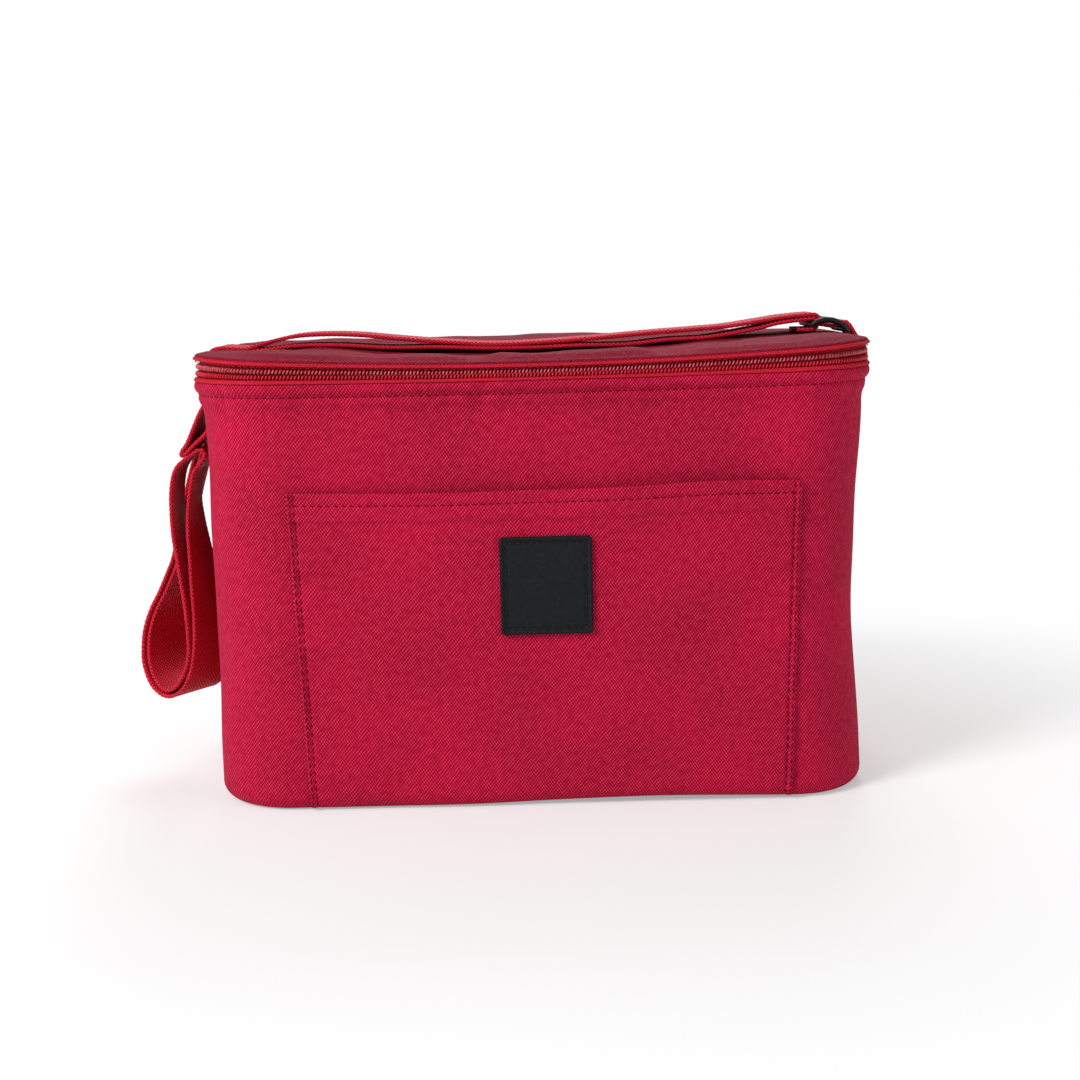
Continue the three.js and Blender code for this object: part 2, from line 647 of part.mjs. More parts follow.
function strapLidLower() {
  const start = BAND_END - HALF_WIDTH;
  const points = [onStrap(start, lidUnder(start) + lowerLayer)];
  for (const share of LOWER_SHARES) {
    points.push(onStrap(share * HALF_WIDTH, lidUnder(share * HALF_WIDTH) + lowerLayer));
  }
  for (const place of APPROACH_SHARES) {
    points.push(approach(place, lowerLayer, leftBarZ + glideWrap));
  }
  for (const turn of GLIDE_TURN_SHARES) {
    const angle = turn * 2 * QUARTER;
    points.push(onStrap(leftBarX + glideWrap * Math.sin(angle), leftBarZ + glideWrap * Math.cos(angle)));
  }
  points.push(onStrap(leftBarX - GLIDE_TAIL / 2, leftBarZ - glideWrap));
  return piece('strap_lid_lower', ribbon(points, 3), scarlet);
}

// The way through the glide past its middle bar to its right one: shares of the bars' pitch, and of the
// distance at which the webbing passes a bar
const GLIDE_SHARES = [
  [-0.46, 0.2], [-0.42, -0.5], [-0.22, -1], [0, -1.03], [0.22, -0.98], [0.45, -0.4], [0.62, 0.44],
  [0.77, 1], [1, 1.08], [1.15, 1.06],
];

function strapLidUpper() {
  const start = BAND_END - HALF_WIDTH;
  const points = [onStrap(start, lidUnder(start) + upperLayer)];
  for (const [share, arch] of UPPER_SHARES) {
    const x = share * HALF_WIDTH;
    points.push(onStrap(x, lidUnder(x) + upperLayer + arch * ARCH_RISE));
  }
  for (const place of APPROACH_SHARES) {
    points.push(approach(place, upperLayer + ARCH_RISE, leftBarZ + glideOver));
  }
  for (const turn of OVER_TURN_SHARES) {
    const angle = turn * 2 * QUARTER;
    points.push(onStrap(leftBarX + glideOver * Math.sin(angle), leftBarZ + glideOver * Math.cos(angle)));
  }
  for (const [share, pass] of GLIDE_SHARES) {
    points.push(onBow(share * GLIDE_PITCH, pass * glideWrap));
  }
  return piece('strap_lid_upper', ribbon(points, 3), scarlet);
}

// The drop leaves the glide on the bow's line: shares of the bars' pitch and of the passing distance
const DROP_START_SHARES = [1.22, 1.06];
const DROP_NEXT_SHARES = [1.5, 1.25];

function strapDropRight() {
  const reach = HALF_WIDTH + DROP_REACH;
  const anchorTop = HEM_HEIGHT - ANCHOR_DROP;
  const onWall = (z) => onStrap(sideFace(z) + SEAT + WEBBING / 2, z);
  const leaving = [DROP_START_SHARES, DROP_NEXT_SHARES].map(([share, pass]) => (
    onBow(share * GLIDE_PITCH, pass * glideWrap)
  ));
  const points = [
    ...leaving,
    onStrap(reach, BAND_TOP - ZIP_BAND / 2),
    onStrap(reach, BAND_BOTTOM - ZIP_BAND / 2),
    onStrap((reach + HALF_WIDTH) / 2, (BAND_BOTTOM + anchorTop) / 2),
    onWall(anchorTop),
    onWall(anchorTop - ANCHOR_LENGTH / 2),
    onWall(anchorTop - ANCHOR_LENGTH),
  ];
  return piece('strap_drop_right', ribbon(points, 4), scarlet);
}

// Left side: places are given as a distance out from the side, a line in Y and a height
const onLeft = (out, y, z) => new THREE.Vector3(-HALF_WIDTH - out, y, z);

// The tab is a folded length of webbing, sewn to the side under the hem at both its ends. Shares of its
// reach out from the side and of its fall from its upper end: out to the fold and back
const TAB_SHARES = [
  [0.16, 0.09], [0.37, 0.29], [0.58, 0.54], [0.8, 0.81], [0.96, 0.94], [1, 1.01], [0.92, 1.02],
  [0.76, 0.93], [0.52, 0.8], [0.28, 0.68],
];
const TAB_END_SHARE = 0.52;
const TAB_TIP_SHARE = 0.4;

function strapTab() {
  const start = HEM_HEIGHT - TAB_DROP;
  const onWall = (z) => onLeft(sideFace(z) - HALF_WIDTH + SEAT + WEBBING / 2, TAB_Y, z);
  const points = [
    onWall(start),
    ...TAB_SHARES.map(([out, fall]) => onLeft(out * TAB_REACH, TAB_Y, start - fall * TAB_FALL)),
    onWall(start - TAB_END_SHARE * TAB_FALL),
    onWall(start - TAB_TIP_SHARE * TAB_FALL),
  ];
  return piece('strap_tab', ribbon(points, 3), scarlet);
}

// The hanging loop: shares of its reach out from the side, of the way in Y from the strap's line (0) to the
// tab's line (1), of the height from its lowest point up to its bight, and of its greatest turn about Z
const FIRST_LAYER_SHARES = [
  [0.121, 0, 1.186, 0], [0.197, 0, 1.091, 0], [0.306, -0.018, 0.978, 0], [0.422, -0.054, 0.864, 0],
  [0.523, -0.089, 0.751, 0], [0.595, -0.125, 0.637, 0.088], [0.653, -0.15, 0.533, 0.235],
  [0.691, -0.139, 0.477, 0.382], [0.78, -0.093, 0.388, 0.588], [0.861, -0.036, 0.322, 0.735],
  [0.916, 0.039, 0.253, 0.824], [0.931, 0.114, 0.192, 0.882], [0.908, 0.221, 0.125, 0.941],
  [0.829, 0.35, 0.063, 0.971], [0.708, 0.536, 0.032, 1], [0.584, 0.679, 0.029, 1],
  [0.46, 0.814, 0.062, 0.971], [0.361, 0.925, 0.117, 0.912], [0.303, 0.986, 0.186, 0.824],
  [0.298, 1.014, 0.254, 0.765], [0.321, 1.021, 0.333, 0.647], [0.361, 1.014, 0.42, 0.529],
  [0.413, 1.007, 0.509, 0.412], [0.468, 1, 0.596, 0.265], [0.52, 1, 0.666, 0.118], [0.549, 1, 0.749, 0],
  [0.54, 1, 0.831, 0], [0.506, 1, 0.897, 0],
];
const BIGHT_SHARES = [
  [0.451, 1, 0.936, 0], [0.373, 1, 0.96, 0], [0.28, 1, 0.981, 0], [0.191, 1, 0.999, 0], [0.13, 1, 0.993, 0],
  [0.127, 1, 0.972, 0], [0.185, 1, 0.946, 0],
];
const SECOND_LAYER_SHARES = [
  [0.254, 1, 0.917, 0], [0.295, 1, 0.874, 0], [0.338, 1, 0.798, 0], [0.338, 1, 0.694, 0.147],
  [0.306, 1, 0.583, 0.294], [0.277, 1.007, 0.474, 0.441], [0.24, 1.021, 0.363, 0.588],
  [0.223, 1.021, 0.273, 0.735], [0.237, 1, 0.193, 0.824], [0.292, 0.939, 0.111, 0.912],
  [0.405, 0.839, 0.042, 0.971], [0.566, 0.7, 0.006, 1], [0.723, 0.55, 0.008, 1],
  [0.879, 0.371, 0.043, 0.971], [0.977, 0.229, 0.117, 0.941], [1, 0.114, 0.191, 0.882],
  [0.986, 0.036, 0.256, 0.824], [0.928, -0.043, 0.327, 0.735], [0.847, -0.096, 0.393, 0.588],
  [0.754, -0.146, 0.483, 0.412], [0.723, -0.154, 0.535, 0.235], [0.665, -0.129, 0.64, 0.088],
  [0.59, -0.093, 0.755, 0], [0.488, -0.057, 0.869, 0], [0.373, -0.021, 0.983, 0], [0.263, 0, 1.097, 0],
  [0.188, 0, 1.19, 0],
];
const LOOP_TURN = Math.PI * 0.19;

function strapHang() {
  const startOut = SEAT + WEBBING / 2 - BAND_END;
  const startUnder = lidUnder(HALF_WIDTH + startOut);
  const corner = { out: ZIP_STANDOUT - LID_ROUND, z: underStrap(-HALF_WIDTH, () => roundMiddle) };
  const firstLeg = ZIP_STANDOUT + SEAT + WEBBING / 2;
  const secondLeg = firstLeg + WEBBING + LID_LAYER_GAP;
  const loopHeight = HEM_HEIGHT - LOOP_DROP - LOOP_BOTTOM;
  const overEdge = (radius) => EDGE_TURN_SHARES.map((share) => onLeft(
    corner.out + radius * Math.sin(share * QUARTER),
    STRAP_Y,
    corner.z + radius * Math.cos(share * QUARTER),
  ));
  const loop = [...FIRST_LAYER_SHARES, ...BIGHT_SHARES, ...SECOND_LAYER_SHARES];
  const onLoop = loop.map(([out, line, height]) => onLeft(
    out * LOOP_REACH,
    THREE.MathUtils.lerp(STRAP_Y, TAB_Y, line),
    LOOP_BOTTOM + height * loopHeight,
  ));
  const lowerRadius = LID_ROUND + lowerLayer + SEAT;
  const upperRadius = lowerRadius + WEBBING + LID_LAYER_GAP;
  const down = [
    onLeft(startOut, STRAP_Y, startUnder + lowerLayer),
    ...overEdge(lowerRadius),
    onLeft(firstLeg, STRAP_Y, BAND_BOTTOM),
  ];
  const up = [
    onLeft(secondLeg, STRAP_Y, BAND_BOTTOM),
    ...overEdge(upperRadius).reverse(),
    onLeft(startOut, STRAP_Y, startUnder + upperLayer),
  ];
  const turns = [...down.map(() => 0), ...loop.map((place) => place[3] * LOOP_TURN), ...up.map(() => 0)];
  return piece('strap_hang', ribbon([...down, ...onLoop, ...up], 2, turns), scarlet);
}

// Whole lunch box

const lunchBox = new THREE.Group();
lunchBox.add(
  ...bodyPieces(),
  ...pocketPieces(),
  ...bodyZipPieces(),
  zipSlider(),
  zipPull(),
  hingeStrip(),
  strapTab(),
  strapHang(),
  strapDropRight(),
);

const lid = new THREE.Group();
lid.add(...lidPieces(), ...lidZipPieces(), strapLidLower(), strapLidUpper(), strapGlide());
lunchBox.add(lid);

export default lunchBox;
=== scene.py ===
import math
import bmesh
import bpy
import numpy as np
from mathutils import Matrix, Vector


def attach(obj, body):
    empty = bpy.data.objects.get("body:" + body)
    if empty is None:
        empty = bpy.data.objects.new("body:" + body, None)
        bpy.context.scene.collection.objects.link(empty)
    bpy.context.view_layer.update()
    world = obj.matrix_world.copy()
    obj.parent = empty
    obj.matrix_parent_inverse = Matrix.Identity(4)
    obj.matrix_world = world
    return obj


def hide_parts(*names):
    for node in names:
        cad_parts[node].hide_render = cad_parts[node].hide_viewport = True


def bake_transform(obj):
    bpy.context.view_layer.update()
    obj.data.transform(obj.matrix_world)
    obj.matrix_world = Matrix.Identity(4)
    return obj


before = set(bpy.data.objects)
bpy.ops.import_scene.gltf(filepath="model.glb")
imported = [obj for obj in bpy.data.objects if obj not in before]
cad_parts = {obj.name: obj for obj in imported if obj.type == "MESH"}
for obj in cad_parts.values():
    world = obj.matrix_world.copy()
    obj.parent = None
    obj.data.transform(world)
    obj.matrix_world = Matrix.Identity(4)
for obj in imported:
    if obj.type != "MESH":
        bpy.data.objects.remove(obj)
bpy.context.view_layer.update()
scene = bpy.context.scene
MM = 0.001

# Camera: where the photograph was taken from, a little above the lid and looking slightly down
CAMERA_PLACE = (0.0015, -0.697, 0.2038)
CAMERA_TILT = math.radians(81)
CAMERA_ROLL = math.radians(-1.45)
camera_data = bpy.data.cameras.new("camera")
camera_data.lens = 55
camera_data.sensor_width = 36
camera = bpy.data.objects.new("camera", camera_data)
camera.matrix_world = (
    Matrix.Translation(CAMERA_PLACE)
    @ Matrix.Rotation(CAMERA_TILT, 4, "X")
    @ Matrix.Rotation(CAMERA_ROLL, 4, "Z")
)
scene.collection.objects.link(camera)
scene.camera = camera
scene.view_settings.view_transform = "Standard"


# Shader values, floor and light
# A pale floor that fades to white, one large soft light from the front left, a weaker one from the
# right and one behind, in a white room.


class Value:
    """A value in a node tree. Sums with numbers and with other values add the nodes that they need."""

    def __init__(self, tree, socket=None):
        self.tree = tree
        self.socket = socket

    def node(self, kind, settings=None, inputs=None, output=0):
        made = self.tree.nodes.new(kind)
        for name, value in (settings or {}).items():
            setattr(made, name, value)
        for name, value in (inputs or {}).items():
            if isinstance(value, Value):
                self.tree.links.new(value.socket, made.inputs[name])
            else:
                made.inputs[name].default_value = value
        return Value(self.tree, made.outputs[output])

    def calc(self, operation, first, second=0.0):
        return self.node("ShaderNodeMath", {"operation": operation}, {0: first, 1: second})

    def __add__(self, other):
        return self.calc("ADD", self, other)

    def __radd__(self, other):
        return self.calc("ADD", other, self)

    def __sub__(self, other):
        return self.calc("SUBTRACT", self, other)

    def __rsub__(self, other):
        return self.calc("SUBTRACT", other, self)

    def __mul__(self, other):
        return self.calc("MULTIPLY", self, other)

    def __rmul__(self, other):
        return self.calc("MULTIPLY", other, self)

    def sine(self):
        return self.calc("SINE", self)

    def size(self):
        return self.calc("ABSOLUTE", self)

    def ramp(self, low, high, start=0.0, end=1.0):
        settings = {"interpolation_type": "SMOOTHSTEP"}
        levels = {"Value": self, "From Min": low, "From Max": high, "To Min": start, "To Max": end}
        return self.node("ShaderNodeMapRange", settings, levels)

    def part(self, name):
        return self.node("ShaderNodeSeparateXYZ", None, {0: self}, name)

    def blend(self, first, second):
        """A mix of two colours, by this value."""
        made = self.tree.nodes.new("ShaderNodeMix")
        made.data_type = "RGBA"
        self.tree.links.new(self.socket, made.inputs[0])
        for place, colour in ((6, first), (7, second)):
            if isinstance(colour, Value):
                self.tree.links.new(colour.socket, made.inputs[place])
            else:
                made.inputs[place].default_value = (*colour, 1)
        return Value(self.tree, made.outputs[2])


def new_material(name, constants):
    """A material, its principled shader with the given constants, and a first value to build from."""
    material = bpy.data.materials.new(name)
    material.use_nodes = True
    shader = material.node_tree.nodes["Principled BSDF"]
    for socket, value in constants.items():
        shader.inputs[socket].default_value = value
    return material, shader, Value(material.node_tree)


def feed(shader, value, socket):
    value.tree.links.new(value.socket, shader.inputs[socket])


def mesh_object(name, points, faces, material):
    mesh = bpy.data.meshes.new(name)
    mesh.from_pydata([tuple(p) for p in points], [], faces)
    mesh.materials.append(material)
    mesh.shade_smooth()
    made = bpy.data.objects.new(name, mesh)
    scene.collection.objects.link(made)
    return made


floor_material, floor_shader, start = new_material(
    "floor", {"Roughness": 0.9, "Specular IOR Level": 0.1}
)
floor_place = start.node("ShaderNodeTexCoord", None, None, "Object")
floor_far = floor_place.node("ShaderNodeVectorMath", {"operation": "LENGTH"}, {0: floor_place}, "Value")
floor_grain = floor_place.node("ShaderNodeTexNoise", None, {"Vector": floor_place, "Scale": 6.0})
feed(floor_shader, floor_grain.blend((0.86, 0.86, 0.86), (0.89, 0.89, 0.89)), "Base Color")
seen = start.node("ShaderNodeLightPath", None, None, "Is Camera Ray")
white = start.node("ShaderNodeEmission", None, {"Color": (1, 1, 1, 1), "Strength": 1.0})
whiteness = floor_far.ramp(0.16, 0.42, 0.35, 1.0) * seen
floor_mix = start.node("ShaderNodeMixShader", None, {0: whiteness, 2: white})
floor_material.node_tree.links.new(
    floor_shader.outputs[0], floor_mix.socket.node.inputs[1]
)
floor_material.node_tree.links.new(
    floor_mix.socket, floor_material.node_tree.nodes["Material Output"].inputs[0]
)
floor = mesh_object(
    "floor",
    [(-4, -4, 0), (4, -4, 0), (4, 4, 0), (-4, 4, 0)],
    [(0, 1, 2, 3)],
    floor_material,
)

world = bpy.data.worlds.new("room")
world.use_nodes = True
background = world.node_tree.nodes["Background"]
background.inputs["Color"].default_value = (1, 1, 1, 1)
# The room lights the bag at this strength and is white where the camera sees it
ROOM_LIGHT = 0.42
room = Value(world.node_tree)
room_seen = room.node("ShaderNodeLightPath", None, None, "Is Camera Ray")
room_level = room_seen * (1 - ROOM_LIGHT) + ROOM_LIGHT
world.node_tree.links.new(room_level.socket, background.inputs["Strength"])
scene.world = world


def soft_light(name, place, target, size, power):
    data = bpy.data.lights.new(name, "AREA")
    data.shape = "DISK"
    data.size = size
    data.energy = power
    lamp = bpy.data.objects.new(name, data)
    lamp.location = place
    aim = Vector(target) - Vector(place)
    lamp.rotation_euler = aim.to_track_quat("-Z", "Y").to_euler()
    scene.collection.objects.link(lamp)


soft_light("key", (-1.15, -1.0, 1.2), (0, 0, 0.12), 0.7, 29)
soft_light("fill", (1.3, -0.7, 0.6), (0, 0, 0.1), 0.9, 3)
soft_light("back", (0.1, 1.2, 1.2), (0, 0, 0.1), 0.8, 12)


# Cloth of the bag: crimson polyester oxford
# A coarse plain weave; its raised threads carry painted highlights as slanting rows of specks, and the gaps
# between them painted shade.
# Each panel carries its own thread directions in its UV map, in metres.


def ripple_noise(value, scale, detail=2.0):
    return value.node("ShaderNodeTexNoise", None, {"Vector": value, "Scale": scale, "Detail": detail})


def raise_bumps(shader, height, strength, distance):
    bump = height.node(
        "ShaderNodeBump", None, {"Strength": strength, "Distance": distance, "Height": height}
    )
    feed(shader, bump, "Normal")


def woven(name, dark, middle, light, thread, depth, constants, slant=0.0):
    """Plain weave: thread is the distance between threads, depth how far they stand out."""
    material, shader, start = new_material(name, constants)
    uv = start.node("ShaderNodeUVMap", {"uv_map": "weave"})
    drift = ripple_noise(uv, 90.0)
    along = uv.part("X") + drift * (thread * 0.5)
    across = uv.part("Y") + drift * (thread * 0.35) + along * slant
    turn = math.pi / thread
    warp = (along * (turn * 1.4)).sine()
    weft = (across * turn).sine()
    specks = warp * weft * 0.5 + 0.5
    yarn = ripple_noise(uv, 0.35 / thread, 3.0)
    cloud = ripple_noise(uv, 22.0, 4.0)
    body = cloud.ramp(0.3, 0.72).blend(dark, middle)
    # Painted highlight: the tops of the threads are made lighter where they would catch the light
    glint = specks.ramp(0.42, 0.9) * yarn.ramp(0.25, 0.7, 0.3, 1.0)
    colour = glint.blend(body, light)
    # Painted shade: the gaps between the threads are darkened towards a darker copy of the dark colour
    gap_shade = specks.ramp(0.0, 0.35, 1.0, 0.0) * 0.8
    feed(shader, gap_shade.blend(colour, tuple(c * 0.45 for c in dark)), "Base Color")
    feed(shader, 0.86 - glint * 0.22 + (cloud - 0.5) * 0.1, "Roughness")
    raise_bumps(shader, specks + yarn * 0.35, 0.55, depth)
    return material


CLOTH = {"Specular IOR Level": 0.14, "Specular Tint": (1.0, 0.6, 0.7, 1)}
THREAD = 0.85 * MM
THREAD_DEPTH = 0.36 * MM
THREAD_SLANT = 0.25
crimson = woven(
    "crimson_oxford", (0.28, 0.0008, 0.017), (0.39, 0.0012, 0.027), (0.80, 0.036, 0.118),
    THREAD, THREAD_DEPTH, CLOTH, THREAD_SLANT,
)
# The lid's cloth: the same oxford painted darker, as painted shade for a lid seen at a grazing angle and
# under the strap
shaded_crimson_lid = woven(
    "crimson_oxford_lid_shaded", (0.13, 0.0006, 0.009), (0.19, 0.0008, 0.014), (0.42, 0.016, 0.055),
    THREAD, THREAD_DEPTH, CLOTH, THREAD_SLANT,
)

# Wall panels and base
# The front and sides are one piece of cloth, the back another, the base a third. They are sewn together
# round the plan, a rounded rectangle, and sag and pucker where the sewing pulls.
HALF_WIDTH = 130 * MM
HALF_DEPTH = 75 * MM
FRONT_RADIUS = 32 * MM
REAR_RADIUS = 20 * MM
ZIP_HEIGHT = 172 * MM
BAND_BOTTOM = 167.65 * MM
HEM_HEIGHT = 162.35 * MM
ZIP_END_Y = 50 * MM
STRAP_Y = 12 * MM
CLOTH_THICK = 1.2 * MM
SEAM_GAP = 0.3 * MM

PLAN = []


def plan_arc(x, y, radius, turn_from, turn_to):
    PLAN.append(("arc", radius * abs(turn_to - turn_from), (x, y, radius, turn_from, turn_to)))


def plan_run(x0, y0, x1, y1, in_x, in_y):
    PLAN.append(("run", math.hypot(x1 - x0, y1 - y0), (x0, y0, x1, y1, in_x, in_y)))


front_x = HALF_WIDTH - FRONT_RADIUS
front_y = HALF_DEPTH - FRONT_RADIUS
rear_x = HALF_WIDTH - REAR_RADIUS
rear_y = HALF_DEPTH - REAR_RADIUS
QUARTER = math.pi / 2
plan_arc(-rear_x, rear_y, REAR_RADIUS, QUARTER, 2 * QUARTER)
plan_run(-HALF_WIDTH, rear_y, -HALF_WIDTH, -front_y, 1, 0)
plan_arc(-front_x, -front_y, FRONT_RADIUS, 2 * QUARTER, 3 * QUARTER)
plan_run(-front_x, -HALF_DEPTH, front_x, -HALF_DEPTH, 0, 1)
plan_arc(front_x, -front_y, FRONT_RADIUS, 3 * QUARTER, 4 * QUARTER)
plan_run(HALF_WIDTH, -front_y, HALF_WIDTH, rear_y, -1, 0)
plan_arc(rear_x, rear_y, REAR_RADIUS, 0, QUARTER)
plan_run(rear_x, HALF_DEPTH, -rear_x, HALF_DEPTH, 0, -1)
PLAN_LENGTHS = np.array([length for _, length, _ in PLAN])
PLAN_STARTS = np.concatenate([[0], np.cumsum(PLAN_LENGTHS)])
PLAN_TOTAL = PLAN_STARTS[-1]
SEAM_RIGHT = PLAN_STARTS[7]
# Distances along the plan at which the zip and the hinge strip end
ZIP_START = PLAN_STARTS[1] + rear_y - ZIP_END_Y
ZIP_FINISH = PLAN_STARTS[6] - (rear_y - ZIP_END_Y)
STRIP_START = ZIP_FINISH + 2.5 * MM
STRIP_FINISH = PLAN_TOTAL + ZIP_START - 2.5 * MM


def plan(distances):
    """Points of the plan and their inward directions, at distances along it from the left back seam."""
    distances = np.asarray(distances) % PLAN_TOTAL
    x, y, in_x, in_y = (np.zeros_like(distances) for _ in range(4))
    which = np.clip(np.searchsorted(PLAN_STARTS, distances, side="right") - 1, 0, len(PLAN) - 1)
    for index, (kind, length, data) in enumerate(PLAN):
        here = which == index
        share = (distances[here] - PLAN_STARTS[index]) / length
        if kind == "arc":
            cx, cy, radius, turn_from, turn_to = data
            turn = turn_from + (turn_to - turn_from) * share
            x[here] = cx + radius * np.cos(turn)
            y[here] = cy + radius * np.sin(turn)
            in_x[here] = -np.cos(turn)
            in_y[here] = -np.sin(turn)
        else:
            x0, y0, x1, y1, ix, iy = data
            x[here] = x0 + (x1 - x0) * share
            y[here] = y0 + (y1 - y0) * share
            in_x[here] = ix
            in_y[here] = iy
    return x, y, in_x, in_y


def smooth(value, low, high):
    share = np.clip((value - low) / (high - low), 0, 1)
    return share * share * (3 - 2 * share)


def bell(value, middle, spread):
    return np.exp(-(((value - middle) / spread) ** 2))


def settle(points):
    """Sags the zip line in front and presses the zip's band flatter there, pulls the left rim down under
    the strap, and lifts the base's front edge."""
    x, y, z = points[..., 0], points[..., 1], points[..., 2]
    across = np.clip(1 - (x / HALF_WIDTH) ** 2, 0, 1)
    forward = np.clip((HALF_DEPTH - y) / (2 * HALF_DEPTH), 0, 1)
    height = np.clip(z / ZIP_HEIGHT, 0, 1)
    z = z - MM * across * forward * (height + 3.6 * smooth(z, 166 * MM, 177 * MM))
    pull = np.exp(-(((y - STRAP_Y) / (24 * MM)) ** 4)) * bell(x, -HALF_WIDTH, 30 * MM)
    z = z - 4 * MM * pull * height**8
    lift = 1.6 * MM * bell(x, 42 * MM, 48 * MM) * smooth(-y, 60 * MM, 74 * MM)
    z = z + lift * np.clip(1 - height * 6, 0, 1)
    return np.stack([x, y, z], axis=-1)


def stand_off(y, in_x, z):
    """How far the wall stands out from the plan. It flares to the zip, except at the back, and both sides
    are drawn in at mid height, the right one more."""
    zip_share = 1 - smooth(y, ZIP_END_Y, HALF_DEPTH)
    waist = (1.9 - 0.9 * in_x) * MM * np.sin(math.pi * np.clip(z / HEM_HEIGHT, 0, 1)) * np.abs(in_x)
    pinch = 0.6 * MM * bell(z, HEM_HEIGHT, 6 * MM)
    flare = smooth(z, 154 * MM, BAND_BOTTOM)
    return zip_share * (flare * 2.5 * MM - (1 - flare) * pinch) - waist


def waves(first, second, seed, count, longest, shortest):
    """Soft random unevenness of height about 1, as a sum of slanting waves."""
    rng = np.random.default_rng(seed)
    total = np.zeros(np.broadcast(first, second).shape)
    for _ in range(count):
        length = rng.uniform(shortest, longest)
        turn = rng.uniform(0, math.pi)
        phase = rng.uniform(0, 2 * math.pi)
        total += np.sin(2 * math.pi / length * (first * math.cos(turn) + second * math.sin(turn)) + phase)
    return total / math.sqrt(count)


def wall_relief(distance, z):
    """How far the cloth stands out from the plain wall: slack, puckers and the hem under the zip, less a
    dent at the right front corner and a crease beside it."""
    inside = smooth(z, 4 * MM, 30 * MM) * (1 - smooth(z, 150 * MM, 163 * MM))
    slack = 0.32 * MM * waves(distance, z, 3, 14, 90 * MM, 34 * MM) * (0.35 + 0.65 * inside)
    pucker = 0.3 * MM * waves(distance, z * 0.35, 5, 10, 16 * MM, 7 * MM) * bell(z, 160 * MM, 5 * MM)
    fold = 0.55 * MM * bell(z, 165 * MM, 1.7 * MM)
    groove = 0.6 * MM * bell(z, HEM_HEIGHT, 0.8 * MM)
    under = 0.35 * MM * bell(z, 159.6 * MM, 1.6 * MM)
    dent = 1.7 * MM * bell(distance, PLAN_STARTS[5] - 12 * MM, 24 * MM) * bell(z, 78 * MM, 30 * MM)
    lean = distance - PLAN_STARTS[4] - 9 * MM - (88 * MM - z) * 0.4
    crease = 0.9 * MM * bell(lean, 0, 4.5 * MM) * bell(z, 84 * MM, 22 * MM)
    return slack + pucker + fold - groove + under - dent - crease


def wall_points(distance, z, inset, relief=1.0):
    """Points on the wall, for arrays of distances and heights that go together."""
    x, y, in_x, in_y = plan(distance)
    inward = inset - stand_off(y, in_x, z) - relief * wall_relief(distance, z)
    return settle(np.stack([x + in_x * inward, y + in_y * inward, z], axis=-1))


def loft(name, sections, along, around, material, ring=False):
    """A closed skin over sections that are closed loops, each out and back again, ends shut or in a ring.
    along and around are the weave's distances at the sections and round a loop, in metres."""
    count, size = sections.shape[:2]
    points = sections.reshape(-1, 3)
    last = count if ring else count - 1
    faces, spots = [], []
    for i in range(last):
        a, b = i * size, ((i + 1) % count) * size
        for j in range(size):
            k = (j + 1) % size
            faces.append((a + j, b + j, b + k, a + k))
            spots.extend(((i, j), (i + 1, j), (i + 1, j + 1), (i, j + 1)))
    if not ring:
        for i, flip in ((0, False), (count - 1, True)):
            a = i * size
            for j in range(size // 2 - 1):
                quad = [j, j + 1, size - 2 - j, size - 1 - j]
                quad = quad[::-1] if flip else quad
                faces.append(tuple(a + q for q in quad))
                spots.extend((i, q) for q in quad)
    corner = points[np.array(faces)]
    volume = np.einsum("ij,ij->i", corner[:, 0], np.cross(corner[:, 1], corner[:, 2])).sum()
    volume += np.einsum("ij,ij->i", corner[:, 0], np.cross(corner[:, 2], corner[:, 3])).sum()
    if volume < 0:
        faces = [face[::-1] for face in faces]
        spots = [spot for n in range(0, len(spots), 4) for spot in spots[n:n + 4][::-1]]
    made = mesh_object(name, points, faces, material)
    layer = made.data.uv_layers.new(name="weave")
    spots = np.array(spots)
    uv = np.stack([np.asarray(along)[spots[:, 0]], np.asarray(around)[spots[:, 1]]], axis=-1)
    layer.data.foreach_set("uv", uv.ravel())
    return made


def sheet_loop(outer, inner):
    """Loops from an outer and an inner face, each with its points along the second axis."""
    return np.concatenate([outer, inner[:, ::-1]], axis=1)


def row_lengths(rows):
    """Distances round a loop that goes up the rows and down again."""
    steps = np.concatenate([[0], np.cumsum(np.abs(np.diff(rows)))])
    return np.concatenate([steps, steps[-1] + 1 * MM + steps, [2 * steps[-1] + 2 * MM]])


def wall_piece(name, first, final, steps, rows, face, thickness, material, relief=1.0, ring=False):
    """A layer that follows the wall between two distances, with softened edges."""
    rows = np.asarray(rows)
    distance = np.linspace(first, final, steps + 1)
    if ring:
        distance = distance[:-1]
    grid_d, grid_z = np.meshgrid(distance, rows, indexing="ij")
    soft = np.zeros(len(rows))
    soft[0] = soft[-1] = 0.3 * thickness
    outer = wall_points(grid_d, grid_z, face + soft, relief)
    inner = wall_points(grid_d, grid_z, face + thickness - soft, relief)
    along = np.linspace(first, final, steps + 1)
    return loft(name, sheet_loop(outer, inner), along, row_lengths(rows), material, ring)


def foot_inset(z):
    """The cloth turns under at the foot, on a small radius."""
    radius = 6 * MM
    low = np.clip(radius - z, 0, radius)
    return radius - np.sqrt(radius**2 - low**2)


def wall_cloth(name, first, final, steps):
    rows = np.concatenate([
        np.array([0.1, 0.3, 0.6, 1.0, 1.5, 2.3, 3.2, 4.4, 6]) * MM,
        np.linspace(8, 154, 62) * MM,
        np.linspace(155.5, 167.35, 22) * MM,
    ])
    distance = np.linspace(first, final, steps + 1)
    grid_d, grid_z = np.meshgrid(distance, rows, indexing="ij")
    inset = foot_inset(grid_z)
    soft = np.zeros(len(rows))
    soft[-1] = 0.35 * MM
    outer = wall_points(grid_d, grid_z, inset + soft)
    inner = wall_points(grid_d, grid_z, inset + CLOTH_THICK - soft)
    return loft(name, sheet_loop(outer, inner), distance, row_lengths(rows), crimson)


